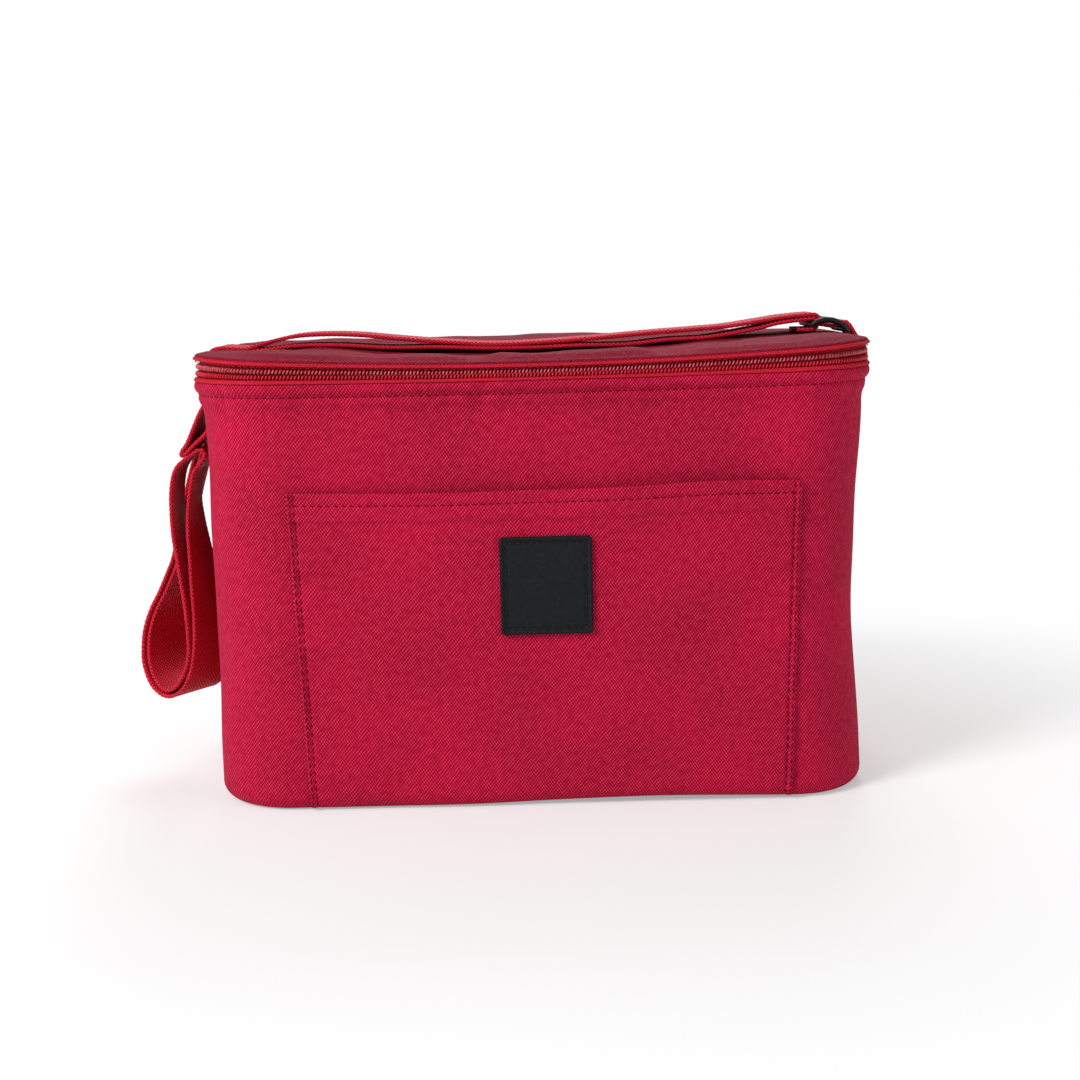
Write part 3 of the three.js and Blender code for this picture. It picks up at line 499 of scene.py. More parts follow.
def plate(name, profile, steps, material):
    """A plate over the plan from a profile that starts and ends on the middle. Each row of the profile
    is an inset, a share of the way out from the middle, a height, and a relief function or None."""
    distance = np.linspace(0, PLAN_TOTAL, steps + 1)[:-1]
    x, y, in_x, in_y = plan(distance)
    rings = []
    for inset, share, z, relief in profile:
        height = np.full(steps, float(z))
        inward = inset - stand_off(y, in_x, height)
        px = (x + in_x * inward) * share
        py = (y + in_y * inward) * share
        if relief is not None:
            height = height + relief(px, py, share)
        rings.append(settle(np.stack([px, py, height], axis=-1)))
    inside = rings[1:-1]
    points = np.concatenate([*inside, rings[0][:1], rings[-1][:1]])
    low, high = len(points) - 2, len(points) - 1
    faces = []
    for r in range(len(inside) - 1):
        for i in range(steps):
            k = (i + 1) % steps
            faces.append((r * steps + i, r * steps + k, (r + 1) * steps + k, (r + 1) * steps + i))
    top = (len(inside) - 1) * steps
    for i in range(steps):
        k = (i + 1) % steps
        faces.append((low, k, i))
        faces.append((high, top + i, top + k))
    made = mesh_object(name, points, faces, material)
    layer = made.data.uv_layers.new(name="weave")
    corners = np.zeros(len(made.data.loops), dtype=np.int32)
    made.data.loops.foreach_get("vertex_index", corners)
    spots = points[corners]
    uv = np.stack([spots[:, 0], spots[:, 1] + spots[:, 2]], axis=-1)
    layer.data.foreach_set("uv", uv.ravel())
    return made


def finish_piece(made, body, slot, *nodes):
    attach(made, body)
    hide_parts(*nodes)


wrap = wall_cloth("wrap_cloth", 0, SEAM_RIGHT, 430)
finish_piece(wrap, "body", "body_fabric", "wrap_panel")
back = wall_cloth("back_cloth", SEAM_RIGHT + SEAM_GAP, PLAN_TOTAL - SEAM_GAP, 150)
finish_piece(back, "body", "body_fabric", "back_panel")

BASE_PROFILE = [
    (3.2 * MM, 0, 0.0, None),
    *[(5.2 * MM, share, 0.0, None) for share in (0.15, 0.4, 0.65, 0.85, 0.95, 0.985)],
    (4.9 * MM, 1, 0.1 * MM, None),
    (4.3 * MM, 1, 0.5 * MM, None),
    (3.7 * MM, 1, 1.2 * MM, None),
    *[(3.6 * MM, share, 1.5 * MM, None) for share in (0.98, 0.85, 0.5)],
    (3.6 * MM, 0, 1.5 * MM, None),
]
base = plate("base_cloth", BASE_PROFILE, 300, crimson)
finish_piece(base, "body", "body_fabric", "base_panel")

# Foams, board and linings
# Grey-white closed-cell foam between the cloth and a wipe-clean film, cut to the panels; a plain plastic
# board under the base's foam. The film is welded at its edges and slightly creased.


def plain_surface(name, dark, light, scale, constants, strength, distance):
    material, shader, start = new_material(name, constants)
    place = start.node("ShaderNodeTexCoord", None, None, "Object")
    cloud = ripple_noise(place, scale, 4.0)
    grain = ripple_noise(place, scale * 14, 3.0)
    feed(shader, (cloud * 0.7 + grain * 0.3).ramp(0.3, 0.7).blend(dark, light), "Base Color")
    feed(shader, constants["Roughness"] + (grain - 0.5) * 0.18, "Roughness")
    raise_bumps(shader, cloud * 0.6 + grain * 0.4, strength, distance)
    return material


FOAM_INSET = 1.5 * MM
FOAM_THICK = 5 * MM
FILM_INSET = 6.8 * MM
FILM_THICK = 0.8 * MM
foam = plain_surface(
    "foam", (0.66, 0.66, 0.64), (0.8, 0.8, 0.78), 160.0, {"Roughness": 0.9}, 0.7, 0.4 * MM
)
film = plain_surface(
    "lining_film", (0.62, 0.64, 0.66), (0.76, 0.78, 0.8), 34.0,
    {"Roughness": 0.34, "Coat Weight": 0.3, "Coat Roughness": 0.3}, 0.6, 1.2 * MM,
)
board = plain_surface(
    "board", (0.55, 0.55, 0.52), (0.66, 0.66, 0.63), 60.0, {"Roughness": 0.6}, 0.3, 0.2 * MM
)
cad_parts["base_board"].data.materials[0] = board

foam_rows = np.concatenate([np.array([1.8, 3, 4.5, 6.5]), np.linspace(12, 160.35, 24)]) * MM
wall_foam = wall_piece(
    "wall_foam_sheet", 0, SEAM_RIGHT, 150, foam_rows, FOAM_INSET + foot_inset(foam_rows), FOAM_THICK, foam
)
finish_piece(wall_foam, "body", "foam", "wall_foam")
back_rows = np.concatenate([foam_rows, [164 * MM, 167.35 * MM]])
back_foam = wall_piece(
    "back_foam_sheet", SEAM_RIGHT + SEAM_GAP, PLAN_TOTAL - SEAM_GAP, 60, back_rows,
    FOAM_INSET + foot_inset(back_rows), FOAM_THICK, foam,
)
finish_piece(back_foam, "body", "foam", "back_foam")
liner_rows = np.linspace(10.5, 167.35, 40) * MM
wall_film = wall_piece(
    "wall_film", 0, PLAN_TOTAL, 260, liner_rows, FILM_INSET, FILM_THICK, film, ring=True
)
finish_piece(wall_film, "body", "lining", "wall_liner")


def flat_layer(inset, low, high, relief=None):
    shares = (0.2, 0.4, 0.6, 0.8, 0.93)
    return [
        (inset, 0, low, relief),
        *[(inset, share, low, relief) for share in shares],
        (inset, 0.995, low, relief),
        (inset, 1, low + 0.2 * MM, relief),
        (inset, 1, high - 0.2 * MM, relief),
        (inset, 0.995, high, relief),
        *[(inset, share, high, relief) for share in shares[::-1]],
        (inset, 0, high, relief),
    ]


base_foam = plate("base_foam_sheet", flat_layer(FILM_INSET, 4.1 * MM, 9.1 * MM), 160, foam)
finish_piece(base_foam, "body", "foam", "base_foam")
base_film = plate("base_film", flat_layer(FILM_INSET, 9.4 * MM, 10.2 * MM), 160, film)
finish_piece(base_film, "body", "lining", "base_liner")


# Front pocket
# One panel of the same cloth, sewn down at both sides and the foot. Its top edge is a turned hem that
# stands away from the wall, more at the right.
POCKET_MIDDLE = 3.5 * MM
POCKET_FOOT = 0.9 * MM
POCKET_HEIGHT = 125.1 * MM


def pocket_half(up):
    """Half the pocket's width, which grows towards its top."""
    return (94 + 4 * up) * MM


def pocket_points(across, up, out):
    """Points of the pocket: shares across and up, and a distance out from its inner face."""
    half = pocket_half(up)
    x = POCKET_MIDDLE + across * half
    z = POCKET_FOOT + up * POCKET_HEIGHT
    past = np.clip(np.abs(x) - front_x, 0, None)
    wall_y = -front_y - np.sqrt(FRONT_RADIUS**2 - past**2)
    rim = np.clip((1 - np.abs(across)) / 0.035, 0, 1)
    side = half * (1 - np.abs(across))
    gape = (3.0 * (1 - across**2) * up**2 + 4.0 * bell(across, 0.5, 0.36) * up**4) * MM
    swell = 0.9 * MM * np.sin(math.pi * np.clip(up, 0, 1)) * (1 - across**4)
    hem = 0.55 * MM * smooth(up, 0.905, 0.915) - 0.5 * MM * bell(up, 0.961, 0.004)
    seam = 0.45 * MM * bell(side, 2.6 * MM, 0.8 * MM) - 0.35 * MM * bell(side, 0.9 * MM, 0.7 * MM)
    pucker = 0.45 * MM * waves(z, z * 0, 21, 8, 15 * MM, 6 * MM) * bell(side, 3.5 * MM, 5 * MM)
    slack = 0.35 * MM * waves(x, z, 23, 12, 80 * MM, 26 * MM) * rim
    relief = wall_relief(PLAN_STARTS[3] + x + front_x, z)
    stand = 0.2 * MM + relief + (gape + swell + slack) * rim + hem - seam + pucker + out
    foot = foot_inset(z)
    top = 1.6 * MM * bell(x, 66 * MM, 30 * MM) * up**6 - 0.5 * MM * bell(x, -35 * MM, 30 * MM) * up**6
    return settle(np.stack([x, wall_y + foot - stand, z + top], axis=-1))


pocket_across = np.sin(np.linspace(-1, 1, 231) * QUARTER * 0.93) / math.sin(QUARTER * 0.93)
pocket_up = np.concatenate([np.linspace(0, 0.9, 80), np.linspace(0.906, 0.9985, 22), [1.0]])
grid_a, grid_u = np.meshgrid(pocket_across, pocket_up, indexing="ij")
edge_soft = np.zeros(len(pocket_up))
edge_soft[-1] = 0.4 * MM
pocket = loft(
    "pocket_cloth",
    sheet_loop(
        pocket_points(grid_a, grid_u, CLOTH_THICK - edge_soft), pocket_points(grid_a, grid_u, edge_soft)
    ),
    pocket_across * 96 * MM,
    row_lengths(pocket_up * 125 * MM),
    crimson,
)
finish_piece(pocket, "body", "body_fabric", "pocket_panel")


# Label
# A moulded black rubber patch with a raised rim, sewn on through a shallow channel. Its face is plain.
rubber = plain_surface(
    "label_rubber", (0.005, 0.006, 0.007), (0.010, 0.011, 0.013), 700.0,
    {"Roughness": 0.6, "Specular IOR Level": 0.14}, 0.35, 0.06 * MM,
)
LABEL_HALF_WIDTH = 17.6 * MM
LABEL_HALF_HEIGHT = 19.1 * MM
LABEL_UP = 0.7035
LABEL_CHANNEL = 2.4 * MM


def label_points(x, z, out):
    """Points on the pocket's face, from the label's own middle."""
    up = LABEL_UP + z / POCKET_HEIGHT
    return pocket_points(x / pocket_half(up), up, out)


def label_face(x, z, half_height):
    edge = np.minimum(LABEL_HALF_WIDTH - np.abs(x), half_height - np.abs(z))
    rim = 0.45 * MM * (1 - smooth(edge, 0.9 * MM, 1.5 * MM)) * smooth(edge, -0.1 * MM, 0.45 * MM)
    channel = 0.3 * MM * bell(edge, LABEL_CHANNEL, 0.55 * MM)
    return 2.55 * MM + rim - channel - 0.25 * MM * (1 - smooth(edge, 0, 0.5 * MM))


label_x = np.sin(np.linspace(-1, 1, 91) * QUARTER) * LABEL_HALF_WIDTH
label_share = np.sin(np.linspace(-1, 1, 91) * QUARTER)
corner = 1.6 * MM
past_corner = np.clip(np.abs(label_x) - (LABEL_HALF_WIDTH - corner), 0, corner)
half_height = LABEL_HALF_HEIGHT - corner + np.sqrt(np.clip(corner**2 - past_corner**2, 0, None))
grid_x = np.repeat(label_x[:, None], len(label_share), axis=1)
grid_z = half_height[:, None] * label_share[None, :]
label = loft(
    "label_patch_fine",
    sheet_loop(
        label_points(grid_x, grid_z, label_face(grid_x, grid_z, half_height[:, None])),
        label_points(grid_x, grid_z, 1.25 * MM),
    ),
    label_x,
    row_lengths(label_share * LABEL_HALF_HEIGHT),
    rubber,
)
finish_piece(label, "body", "label_rubber", "label_patch")


# Zip: tapes, coils and end stops
# Two scarlet tapes and a coil zip round the front and both sides, open at the back. The tapes' edges
# are rolled; the lower coil shows as a ribbed row, the upper one as a row of teeth in shadow with painted
# pale highlights. Behind the coils the tapes are a darker copy, painted shade.
TAPE_GLOSS = {"Specular IOR Level": 0.2}
scarlet = woven(
    "scarlet_tape", (0.34, 0.0006, 0.010), (0.47, 0.001, 0.017), (0.78, 0.035, 0.07),
    0.5 * MM, 0.22 * MM, TAPE_GLOSS, 0.6,
)
# A dark copy of the tape for behind the coils: its colour is painted shade in the gap between the tapes
shadow_tape = woven(
    "zip_tape_shaded", (0.16, 0.001, 0.004), (0.24, 0.001, 0.008), (0.36, 0.004, 0.02),
    0.5 * MM, 0.2 * MM, TAPE_GLOSS,
)
coil_red = plain_surface(
    "zip_coil_red", (0.42, 0.001, 0.016), (0.62, 0.01, 0.035), 900.0,
    {"Roughness": 0.4, "Specular IOR Level": 0.35}, 0.2, 0.05 * MM,
)
# Painted highlight: the upper coil's turns are blotched pale over a dark red, where they would glint
coil_glint = plain_surface(
    "zip_coil_glint", (0.34, 0.002, 0.014), (0.70, 0.12, 0.15), 420.0, {"Roughness": 0.32}, 0.2, 0.05 * MM
)
for stop in ("zip_stop_left", "zip_stop_right"):
    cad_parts[stop].data.materials[0] = coil_red


def zip_tape(name, rows, face, thickness, material):
    return wall_piece(name, ZIP_START, ZIP_FINISH, 300, rows, face, thickness, material, relief=0.0)


lower_rows = np.concatenate([np.linspace(160.65, 166.9, 8), np.linspace(167.2, 169.3, 16)]) * MM
lower_face = 1.5 * MM - 1.75 * MM * smooth(lower_rows, 167.0 * MM, 167.75 * MM)
lower_face = lower_face + 0.9 * MM * smooth(lower_rows, 168.5 * MM, 169.3 * MM)
lower_tape = zip_tape("zip_tape_lower_cloth", lower_rows, lower_face, 0.9 * MM, scarlet)
finish_piece(lower_tape, "body", "zip_tape", "zip_tape_lower")
upper_rows = np.linspace(175.55, 177.2, 22) * MM
upper_face = 1.0 * MM - 1.3 * MM * smooth(upper_rows, 175.55 * MM, 176.1 * MM)
upper_face = upper_face + 0.6 * MM * smooth(upper_rows, 176.7 * MM, 177.2 * MM)
upper_tape = zip_tape("zip_tape_upper_cloth", upper_rows, upper_face, 0.9 * MM, scarlet)
finish_piece(upper_tape, "lid", "zip_tape", "zip_tape_upper")
# The tape behind the coils, in the dark copy painted for shade
lower_backing = zip_tape(
    "zip_tape_lower_shaded", np.linspace(168.8, 171.9, 6) * MM, 2.5 * MM, 0.4 * MM, shadow_tape
)
finish_piece(lower_backing, "body", "zip_tape", "zip_tape_lower")
upper_backing = zip_tape(
    "zip_tape_upper_shaded", np.linspace(172.1, 175.9, 8) * MM, 2.2 * MM, 0.4 * MM, shadow_tape
)
finish_piece(upper_backing, "lid", "zip_tape", "zip_tape_upper")


def curve_object(name, rows, ring=False):
    """A curve object with one straight-stepped spline for each row of points."""
    data = bpy.data.curves.new(name, "CURVE")
    data.dimensions = "3D"
    for row in rows:
        spline = data.splines.new("POLY")
        spline.points.add(len(row) - 1)
        spline.points.foreach_set("co", np.concatenate([row, np.ones((len(row), 1))], axis=1).ravel())
        spline.use_cyclic_u = ring
    made = bpy.data.objects.new(name, data)
    scene.collection.objects.link(made)
    return made


def node_group(name, numbers):
    """A geometry node tree with a geometry input, the named numbers and a material input."""
    tree = bpy.data.node_groups.new(name, "GeometryNodeTree")
    tree.interface.new_socket("Geometry", in_out="INPUT", socket_type="NodeSocketGeometry")
    for number in numbers:
        tree.interface.new_socket(number, in_out="INPUT", socket_type="NodeSocketFloat")
    tree.interface.new_socket("Material", in_out="INPUT", socket_type="NodeSocketMaterial")
    tree.interface.new_socket("Geometry", in_out="OUTPUT", socket_type="NodeSocketGeometry")
    given = tree.nodes.new("NodeGroupInput")
    return tree, {socket.name: Value(tree, socket) for socket in given.outputs if socket.name}


def close_group(tree, geometry, material):
    whole = geometry.node("GeometryNodeRealizeInstances", None, {0: geometry})
    smooth_shaded = whole.node("GeometryNodeSetShadeSmooth", None, {"Geometry": whole})
    painted = whole.node("GeometryNodeSetMaterial", None, {"Geometry": smooth_shaded, "Material": material})
    end = tree.nodes.new("NodeGroupOutput")
    tree.links.new(painted.socket, end.inputs[0])


def grow(name, curves, tree, settings):
    """Runs a node tree on the curves and keeps what it makes as a plain mesh object."""
    modifier = curves.modifiers.new("grow", "NODES")
    modifier.node_group = tree
    for item in tree.interface.items_tree:
        if item.in_out == "INPUT" and item.name in settings:
            modifier[item.identifier] = settings[item.name]
    bpy.context.view_layer.update()
    evaluated = curves.evaluated_get(bpy.context.evaluated_depsgraph_get())
    mesh = bpy.data.meshes.new_from_object(evaluated)
    mesh.name = name
    made = bpy.data.objects.new(name, mesh)
    scene.collection.objects.link(made)
    bpy.data.objects.remove(curves)
    return made


def along_curve(curve, instance, pivot, tilt):
    """Copies of the instance at the curve's points, with X along the curve, turned about the pivot axis."""
    tangent = curve.node("GeometryNodeInputTangent")
    turned = tangent.node(
        "FunctionNodeAlignRotationToVector", {"axis": "X", "pivot_axis": pivot}, {"Vector": tangent}
    )
    placed = curve.node(
        "GeometryNodeInstanceOnPoints", None, {"Points": curve, "Instance": instance, "Rotation": turned}
    )
    if tilt == 0.0:
        return placed
    return placed.node(
        "GeometryNodeRotateInstances", None,
        {"Instances": placed, "Rotation": (0.0, tilt, 0.0)},
    )


# One turn of the coil: a wire loop across the tape, leaning a little to one side
coil_tree, coil_in = node_group("coil_turns", ["Pitch", "Depth", "Height", "Wire"])
coil_line = coil_in["Geometry"].node(
    "GeometryNodeResampleCurve", {"mode": "LENGTH"},
    {"Curve": coil_in["Geometry"], "Length": coil_in["Pitch"]},
)
loop_curve = coil_line.node("GeometryNodeCurvePrimitiveCircle", None, {"Resolution": 14, "Radius": 1.0})
loop_size = coil_line.node(
    "ShaderNodeCombineXYZ", None, {"X": coil_in["Height"], "Y": coil_in["Depth"], "Z": 1.0}
)
loop_scaled = coil_line.node("GeometryNodeTransform", None, {"Geometry": loop_curve, "Scale": loop_size})
loop_upright = coil_line.node(
    "GeometryNodeTransform", None, {"Geometry": loop_scaled, "Rotation": (0.0, QUARTER, 0.0)}
)
wire_ring = coil_line.node(
    "GeometryNodeCurvePrimitiveCircle", None, {"Resolution": 6, "Radius": coil_in["Wire"]}
)
turn_mesh = coil_line.node(
    "GeometryNodeCurveToMesh", None, {"Curve": loop_upright, "Profile Curve": wire_ring}
)
close_group(coil_tree, along_curve(coil_line, turn_mesh, "Z", 0.4), coil_in["Material"])


def coil_line_points(z, inset):
    distance = np.linspace(ZIP_START + 1 * MM, ZIP_FINISH - 1 * MM, 600)
    return wall_points(distance, np.full(len(distance), z), inset, 0.0)


coil_sizes = {"Pitch": 1.36 * MM, "Depth": 0.85 * MM, "Height": 0.8 * MM, "Wire": 0.36 * MM}
lower_coil = grow(
    "zip_coil_lower_turns", curve_object("coil_a", [coil_line_points(170.55 * MM, 1.5 * MM)]), coil_tree,
    {**coil_sizes, "Material": coil_red},
)
finish_piece(lower_coil, "body", "zip_coil", "zip_coil_lower")
upper_coil = grow(
    "zip_coil_upper_turns", curve_object("coil_b", [coil_line_points(173.3 * MM, 1.7 * MM)[3:]]), coil_tree,
    {**coil_sizes, "Wire": 0.32 * MM, "Material": coil_glint},
)
finish_piece(upper_coil, "lid", "zip_coil", "zip_coil_upper")


# Zip slider and pull
# Cast zinc in a dark satin finish: two plates joined by a blade, two lugs with a pin, and a stamped pull
# with a round eye. Edges are tumbled smooth.


def metal_surface(name, dark, light, roughness):
    material, shader, start = new_material(name, {"Metallic": 1.0})
    place = start.node("ShaderNodeTexCoord", None, None, "Object")
    wear = ripple_noise(place, 260.0, 4.0)
    fine = ripple_noise(place, 1900.0, 2.0)
    feed(shader, wear.ramp(0.4, 0.75).blend(dark, light), "Base Color")
    feed(shader, roughness + (fine - 0.5) * 0.2, "Roughness")
    raise_bumps(shader, wear * 0.5 + fine * 0.5, 0.25, 0.05 * MM)
    return material


dark_metal = metal_surface("dark_zinc", (0.035, 0.036, 0.04), (0.09, 0.09, 0.095), 0.34)


def rounded_box(whole, size, place, radius, turn=0.0):
    """Adds a box with rounded edges to a bmesh; turn is about Y."""
    made = bmesh.ops.create_cube(whole, size=1.0)
    shape = (
        Matrix.Translation(place)
        @ Matrix.Rotation(turn, 4, "Y")
        @ Matrix.Diagonal((size[0], size[1], size[2], 1))
    )
    bmesh.ops.transform(whole, matrix=shape, verts=made["verts"])
    edges = {edge for vert in made["verts"] for edge in vert.link_edges}
    bmesh.ops.bevel(whole, geom=list(edges), offset=radius, segments=3, affect="EDGES", profile=0.5)


def rounded_rod(whole, radius, length, place, axis_turn):
    made = bmesh.ops.create_cone(
        whole, cap_ends=True, segments=32, radius1=radius, radius2=radius, depth=length
    )
    bmesh.ops.transform(whole, matrix=Matrix.Translation(place) @ axis_turn, verts=made["verts"])


def mesh_from(name, whole, material):
    mesh = bpy.data.meshes.new(name)
    whole.to_mesh(mesh)
    whole.free()
    mesh.materials.append(material)
    mesh.shade_smooth()
    mesh.set_sharp_from_angle(angle=math.radians(50))
    made = bpy.data.objects.new(name, mesh)
    scene.collection.objects.link(made)
    return made


slider = bmesh.new()
SLIDER_Y = 44 * MM
PIN_X = 135.55 * MM
rounded_box(slider, (1.3 * MM, 9 * MM, 7.6 * MM), (132.8 * MM, SLIDER_Y, ZIP_HEIGHT), 0.5 * MM)
rounded_box(slider, (1.2 * MM, 9 * MM, 7.6 * MM), (128.4 * MM, SLIDER_Y, ZIP_HEIGHT), 0.45 * MM)
rounded_box(slider, (4.2 * MM, 8.4 * MM, 0.8 * MM), (130.6 * MM, SLIDER_Y, ZIP_HEIGHT), 0.2 * MM)
for side in (-1, 1):
    lug = (134.7 * MM, SLIDER_Y, ZIP_HEIGHT + side * 2.4 * MM)
    rounded_box(slider, (2.7 * MM, 2.2 * MM, 0.9 * MM), lug, 0.3 * MM)
    flange = (132.2 * MM, SLIDER_Y + 1 * MM, ZIP_HEIGHT + side * 3.6 * MM)
    rounded_box(slider, (0.9 * MM, 5.6 * MM, 0.7 * MM), flange, 0.2 * MM)
rounded_rod(slider, 0.6 * MM, 5.2 * MM, (PIN_X, SLIDER_Y, ZIP_HEIGHT), Matrix.Identity(4))
slider = mesh_from("zip_slider_fine", slider, dark_metal)
finish_piece(slider, "zip_slider", "zip_metal", "zip_slider")

pull = bmesh.new()
EYE = 1.4 * MM
EYE_STEPS = 40
ROLL_STEPS = 10
verts = []
for i in range(EYE_STEPS):
    turn = 2 * math.pi * i / EYE_STEPS
    for j in range(ROLL_STEPS):
        roll = 2 * math.pi * j / ROLL_STEPS
        out = EYE + 0.48 * MM * math.cos(roll)
        x, y, z = out * math.cos(turn), out * math.sin(turn), 1.5 * MM * math.sin(roll)
        verts.append(pull.verts.new((x + PIN_X, y + SLIDER_Y, z + ZIP_HEIGHT)))
for i in range(EYE_STEPS):
    a, b = i * ROLL_STEPS, ((i + 1) % EYE_STEPS) * ROLL_STEPS
    for j in range(ROLL_STEPS):
        k = (j + 1) % ROLL_STEPS
        pull.faces.new((verts[a + j], verts[b + j], verts[b + k], verts[a + k]))
rounded_box(pull, (1.4 * MM, 4.4 * MM, 3 * MM), (PIN_X, SLIDER_Y + 3.4 * MM, ZIP_HEIGHT), 0.35 * MM)
rounded_box(pull, (1.4 * MM, 13.4 * MM, 6.8 * MM), (PIN_X, SLIDER_Y + 11.2 * MM, ZIP_HEIGHT), 0.5 * MM)
pull = mesh_from("zip_pull_fine", pull, dark_metal)
finish_piece(pull, "zip_pull", "zip_metal", "zip_pull")


# Hinge strip
# A folded strip of the bag's cloth sewn to the back and to the lid.
BAND_TOP = 176.35 * MM
strip_rows = np.linspace(BAND_BOTTOM, BAND_TOP, 14)
strip_face = -0.35 * MM * np.sin(math.pi * np.linspace(0, 1, 14))
strip = wall_piece(
    "hinge_cloth", STRIP_START, STRIP_FINISH, 170, strip_rows, strip_face, CLOTH_THICK, crimson, relief=0.4
)
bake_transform(strip)
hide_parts("hinge_strip")


# Lid
# Cloth over foam and a film lining, bound to the upper zip tape. The front stands in three soft humps
# with two creases between them, and the middle is dished under the strap.


def lid_top(share):
    """The lid's height, dished in the middle; share is the way out from the middle to the edge."""
    return (178.2 - 3.3 * (1 - share**2) ** 2 + 1.3 * math.sin(math.pi * share**2)) * MM


def lid_relief(px, py, share):
    front = smooth(-py, 6 * MM, 48 * MM)
    near = smooth(share, 0.55, 0.84) * (1 - smooth(share, 0.93, 1.0))
    lean = px + (py + HALF_DEPTH) * 0.35
    crease = bell(lean, -17 * MM, 6 * MM) + 0.85 * bell(lean, 55 * MM, 7 * MM)
    humps = (1.5 - 3.6 * crease) * MM * front * near
    slack = 0.45 * MM * waves(px, py, 31, 14, 70 * MM, 24 * MM) * (1 - smooth(share, 0.9, 1.0))
    corner_sink = 1.8 * MM * bell(px, -112 * MM, 16 * MM) * bell(py, -40 * MM, 26 * MM)
    corner_sink = corner_sink * (1 - smooth(share, 0.95, 1.0))
    return humps + slack - corner_sink


LID_SHARES = [0, 0.06, 0.12, *np.linspace(0.18, 0.78, 22), *np.linspace(0.8, 1.0, 20)]
LID_PROFILE = [
    (1.25 * MM, 0, lid_top(0) - CLOTH_THICK, lid_relief),
    *[(1.25 * MM, s, lid_top(s) - CLOTH_THICK, lid_relief) for s in LID_SHARES[1:-1:3]],
    (1.5 * MM, 1, 176.9 * MM, None),
    (1.3 * MM, 1, 176.6 * MM, None),
    (0.5 * MM, 1, 176.6 * MM, None),
    (0.35 * MM, 1, 177.0 * MM, None),
    (0.5 * MM, 1, 177.6 * MM, None),
    (0.9 * MM, 1, 178.0 * MM, None),
    *[(1.25 * MM, s, lid_top(s), lid_relief) for s in LID_SHARES[:0:-1]],
    (1.25 * MM, 0, lid_top(0), lid_relief),
]
# The lid's cloth uses the darker copy, its colour painted shade
lid_cloth = plate("lid_cloth", LID_PROFILE, 420, shaded_crimson_lid)
finish_piece(lid_cloth, "lid", "lid_fabric", "lid_panel")


def foam_relief(px, py, share):
    return np.minimum(lid_relief(px, py, share), 0.3 * MM)


LID_FOAM_INSET = 5.05 * MM
LID_FOAM_LOW = 169.85 * MM
LID_FOAM_DROP = 1.9 * MM
LID_FOAM_SHARES = (0.985, 0.93, 0.86, 0.75, 0.6, 0.4, 0.2)
FOAM_PROFILE = [
    (LID_FOAM_INSET, 0, LID_FOAM_LOW, None),
    *[(LID_FOAM_INSET, s, LID_FOAM_LOW, None) for s in (0.3, 0.6, 0.9, 0.99)],
    (LID_FOAM_INSET, 1, 170.1 * MM, None),
    (LID_FOAM_INSET, 1, lid_top(0.97) - 2.6 * MM, None),
    *[(LID_FOAM_INSET, s, lid_top(s * 0.95) - LID_FOAM_DROP, foam_relief) for s in LID_FOAM_SHARES],
    (LID_FOAM_INSET, 0, lid_top(0) - LID_FOAM_DROP, foam_relief),
]
lid_foam = plate("lid_foam_sheet", FOAM_PROFILE, 160, foam)
finish_piece(lid_foam, "lid", "foam", "lid_foam")
lid_film = plate("lid_film", flat_layer(LID_FOAM_INSET, 168.75 * MM, 169.55 * MM), 160, film)
finish_piece(lid_film, "lid", "lining", "lid_liner")


# Strap
# One length of 25 mm polypropylene webbing with a ribbed face and woven edges: two layers over the lid,
# a loop that hangs at the left, and a drop at the right. The tab at the left is the same webbing.


def webbing_material(name, dark, middle, light):
    material, shader, start = new_material(
        name, {"Specular IOR Level": 0.2, "Specular Tint": (1.0, 0.6, 0.65, 1)}
    )
    uv = start.node("ShaderNodeUVMap", {"uv_map": "weave"})
    drift = ripple_noise(uv, 120.0)
    along = uv.part("X") + drift * 0.0002
    across = uv.part("Y") + drift * 0.0002
    ribs = (along * (math.pi / (0.88 * MM))).sine()
    ends = (across * (math.pi / (0.8 * MM))).sine()
    knots = ribs * ends * 0.5 + 0.5
    rows = (along * (math.pi / (0.88 * MM))).sine().size()
    yarn = ripple_noise(uv, 900.0, 3.0)
    cloud = ripple_noise(uv, 40.0, 3.0)
    # Painted highlight: the knots of the weave are made lighter where they would catch the light
    glint = knots.ramp(0.45, 0.9) * yarn.ramp(0.2, 0.75, 0.4, 1.0)
    colour = glint.blend(cloud.ramp(0.3, 0.7).blend(dark, middle), light)
    # Painted shade: the gaps between the knots are darkened
    gap_shade = knots.ramp(0.0, 0.35, 1.0, 0.0) * 0.55
    feed(shader, gap_shade.blend(colour, tuple(c * 0.4 for c in dark)), "Base Color")
    feed(shader, 0.72 - glint * 0.25, "Roughness")
    raise_bumps(shader, knots * 0.7 + rows * 0.3 + yarn * 0.2, 0.7, 0.4 * MM)
    return material


webbing = webbing_material(
    "scarlet_webbing", (0.34, 0.0006, 0.009), (0.47, 0.001, 0.016), (0.86, 0.05, 0.10)
)


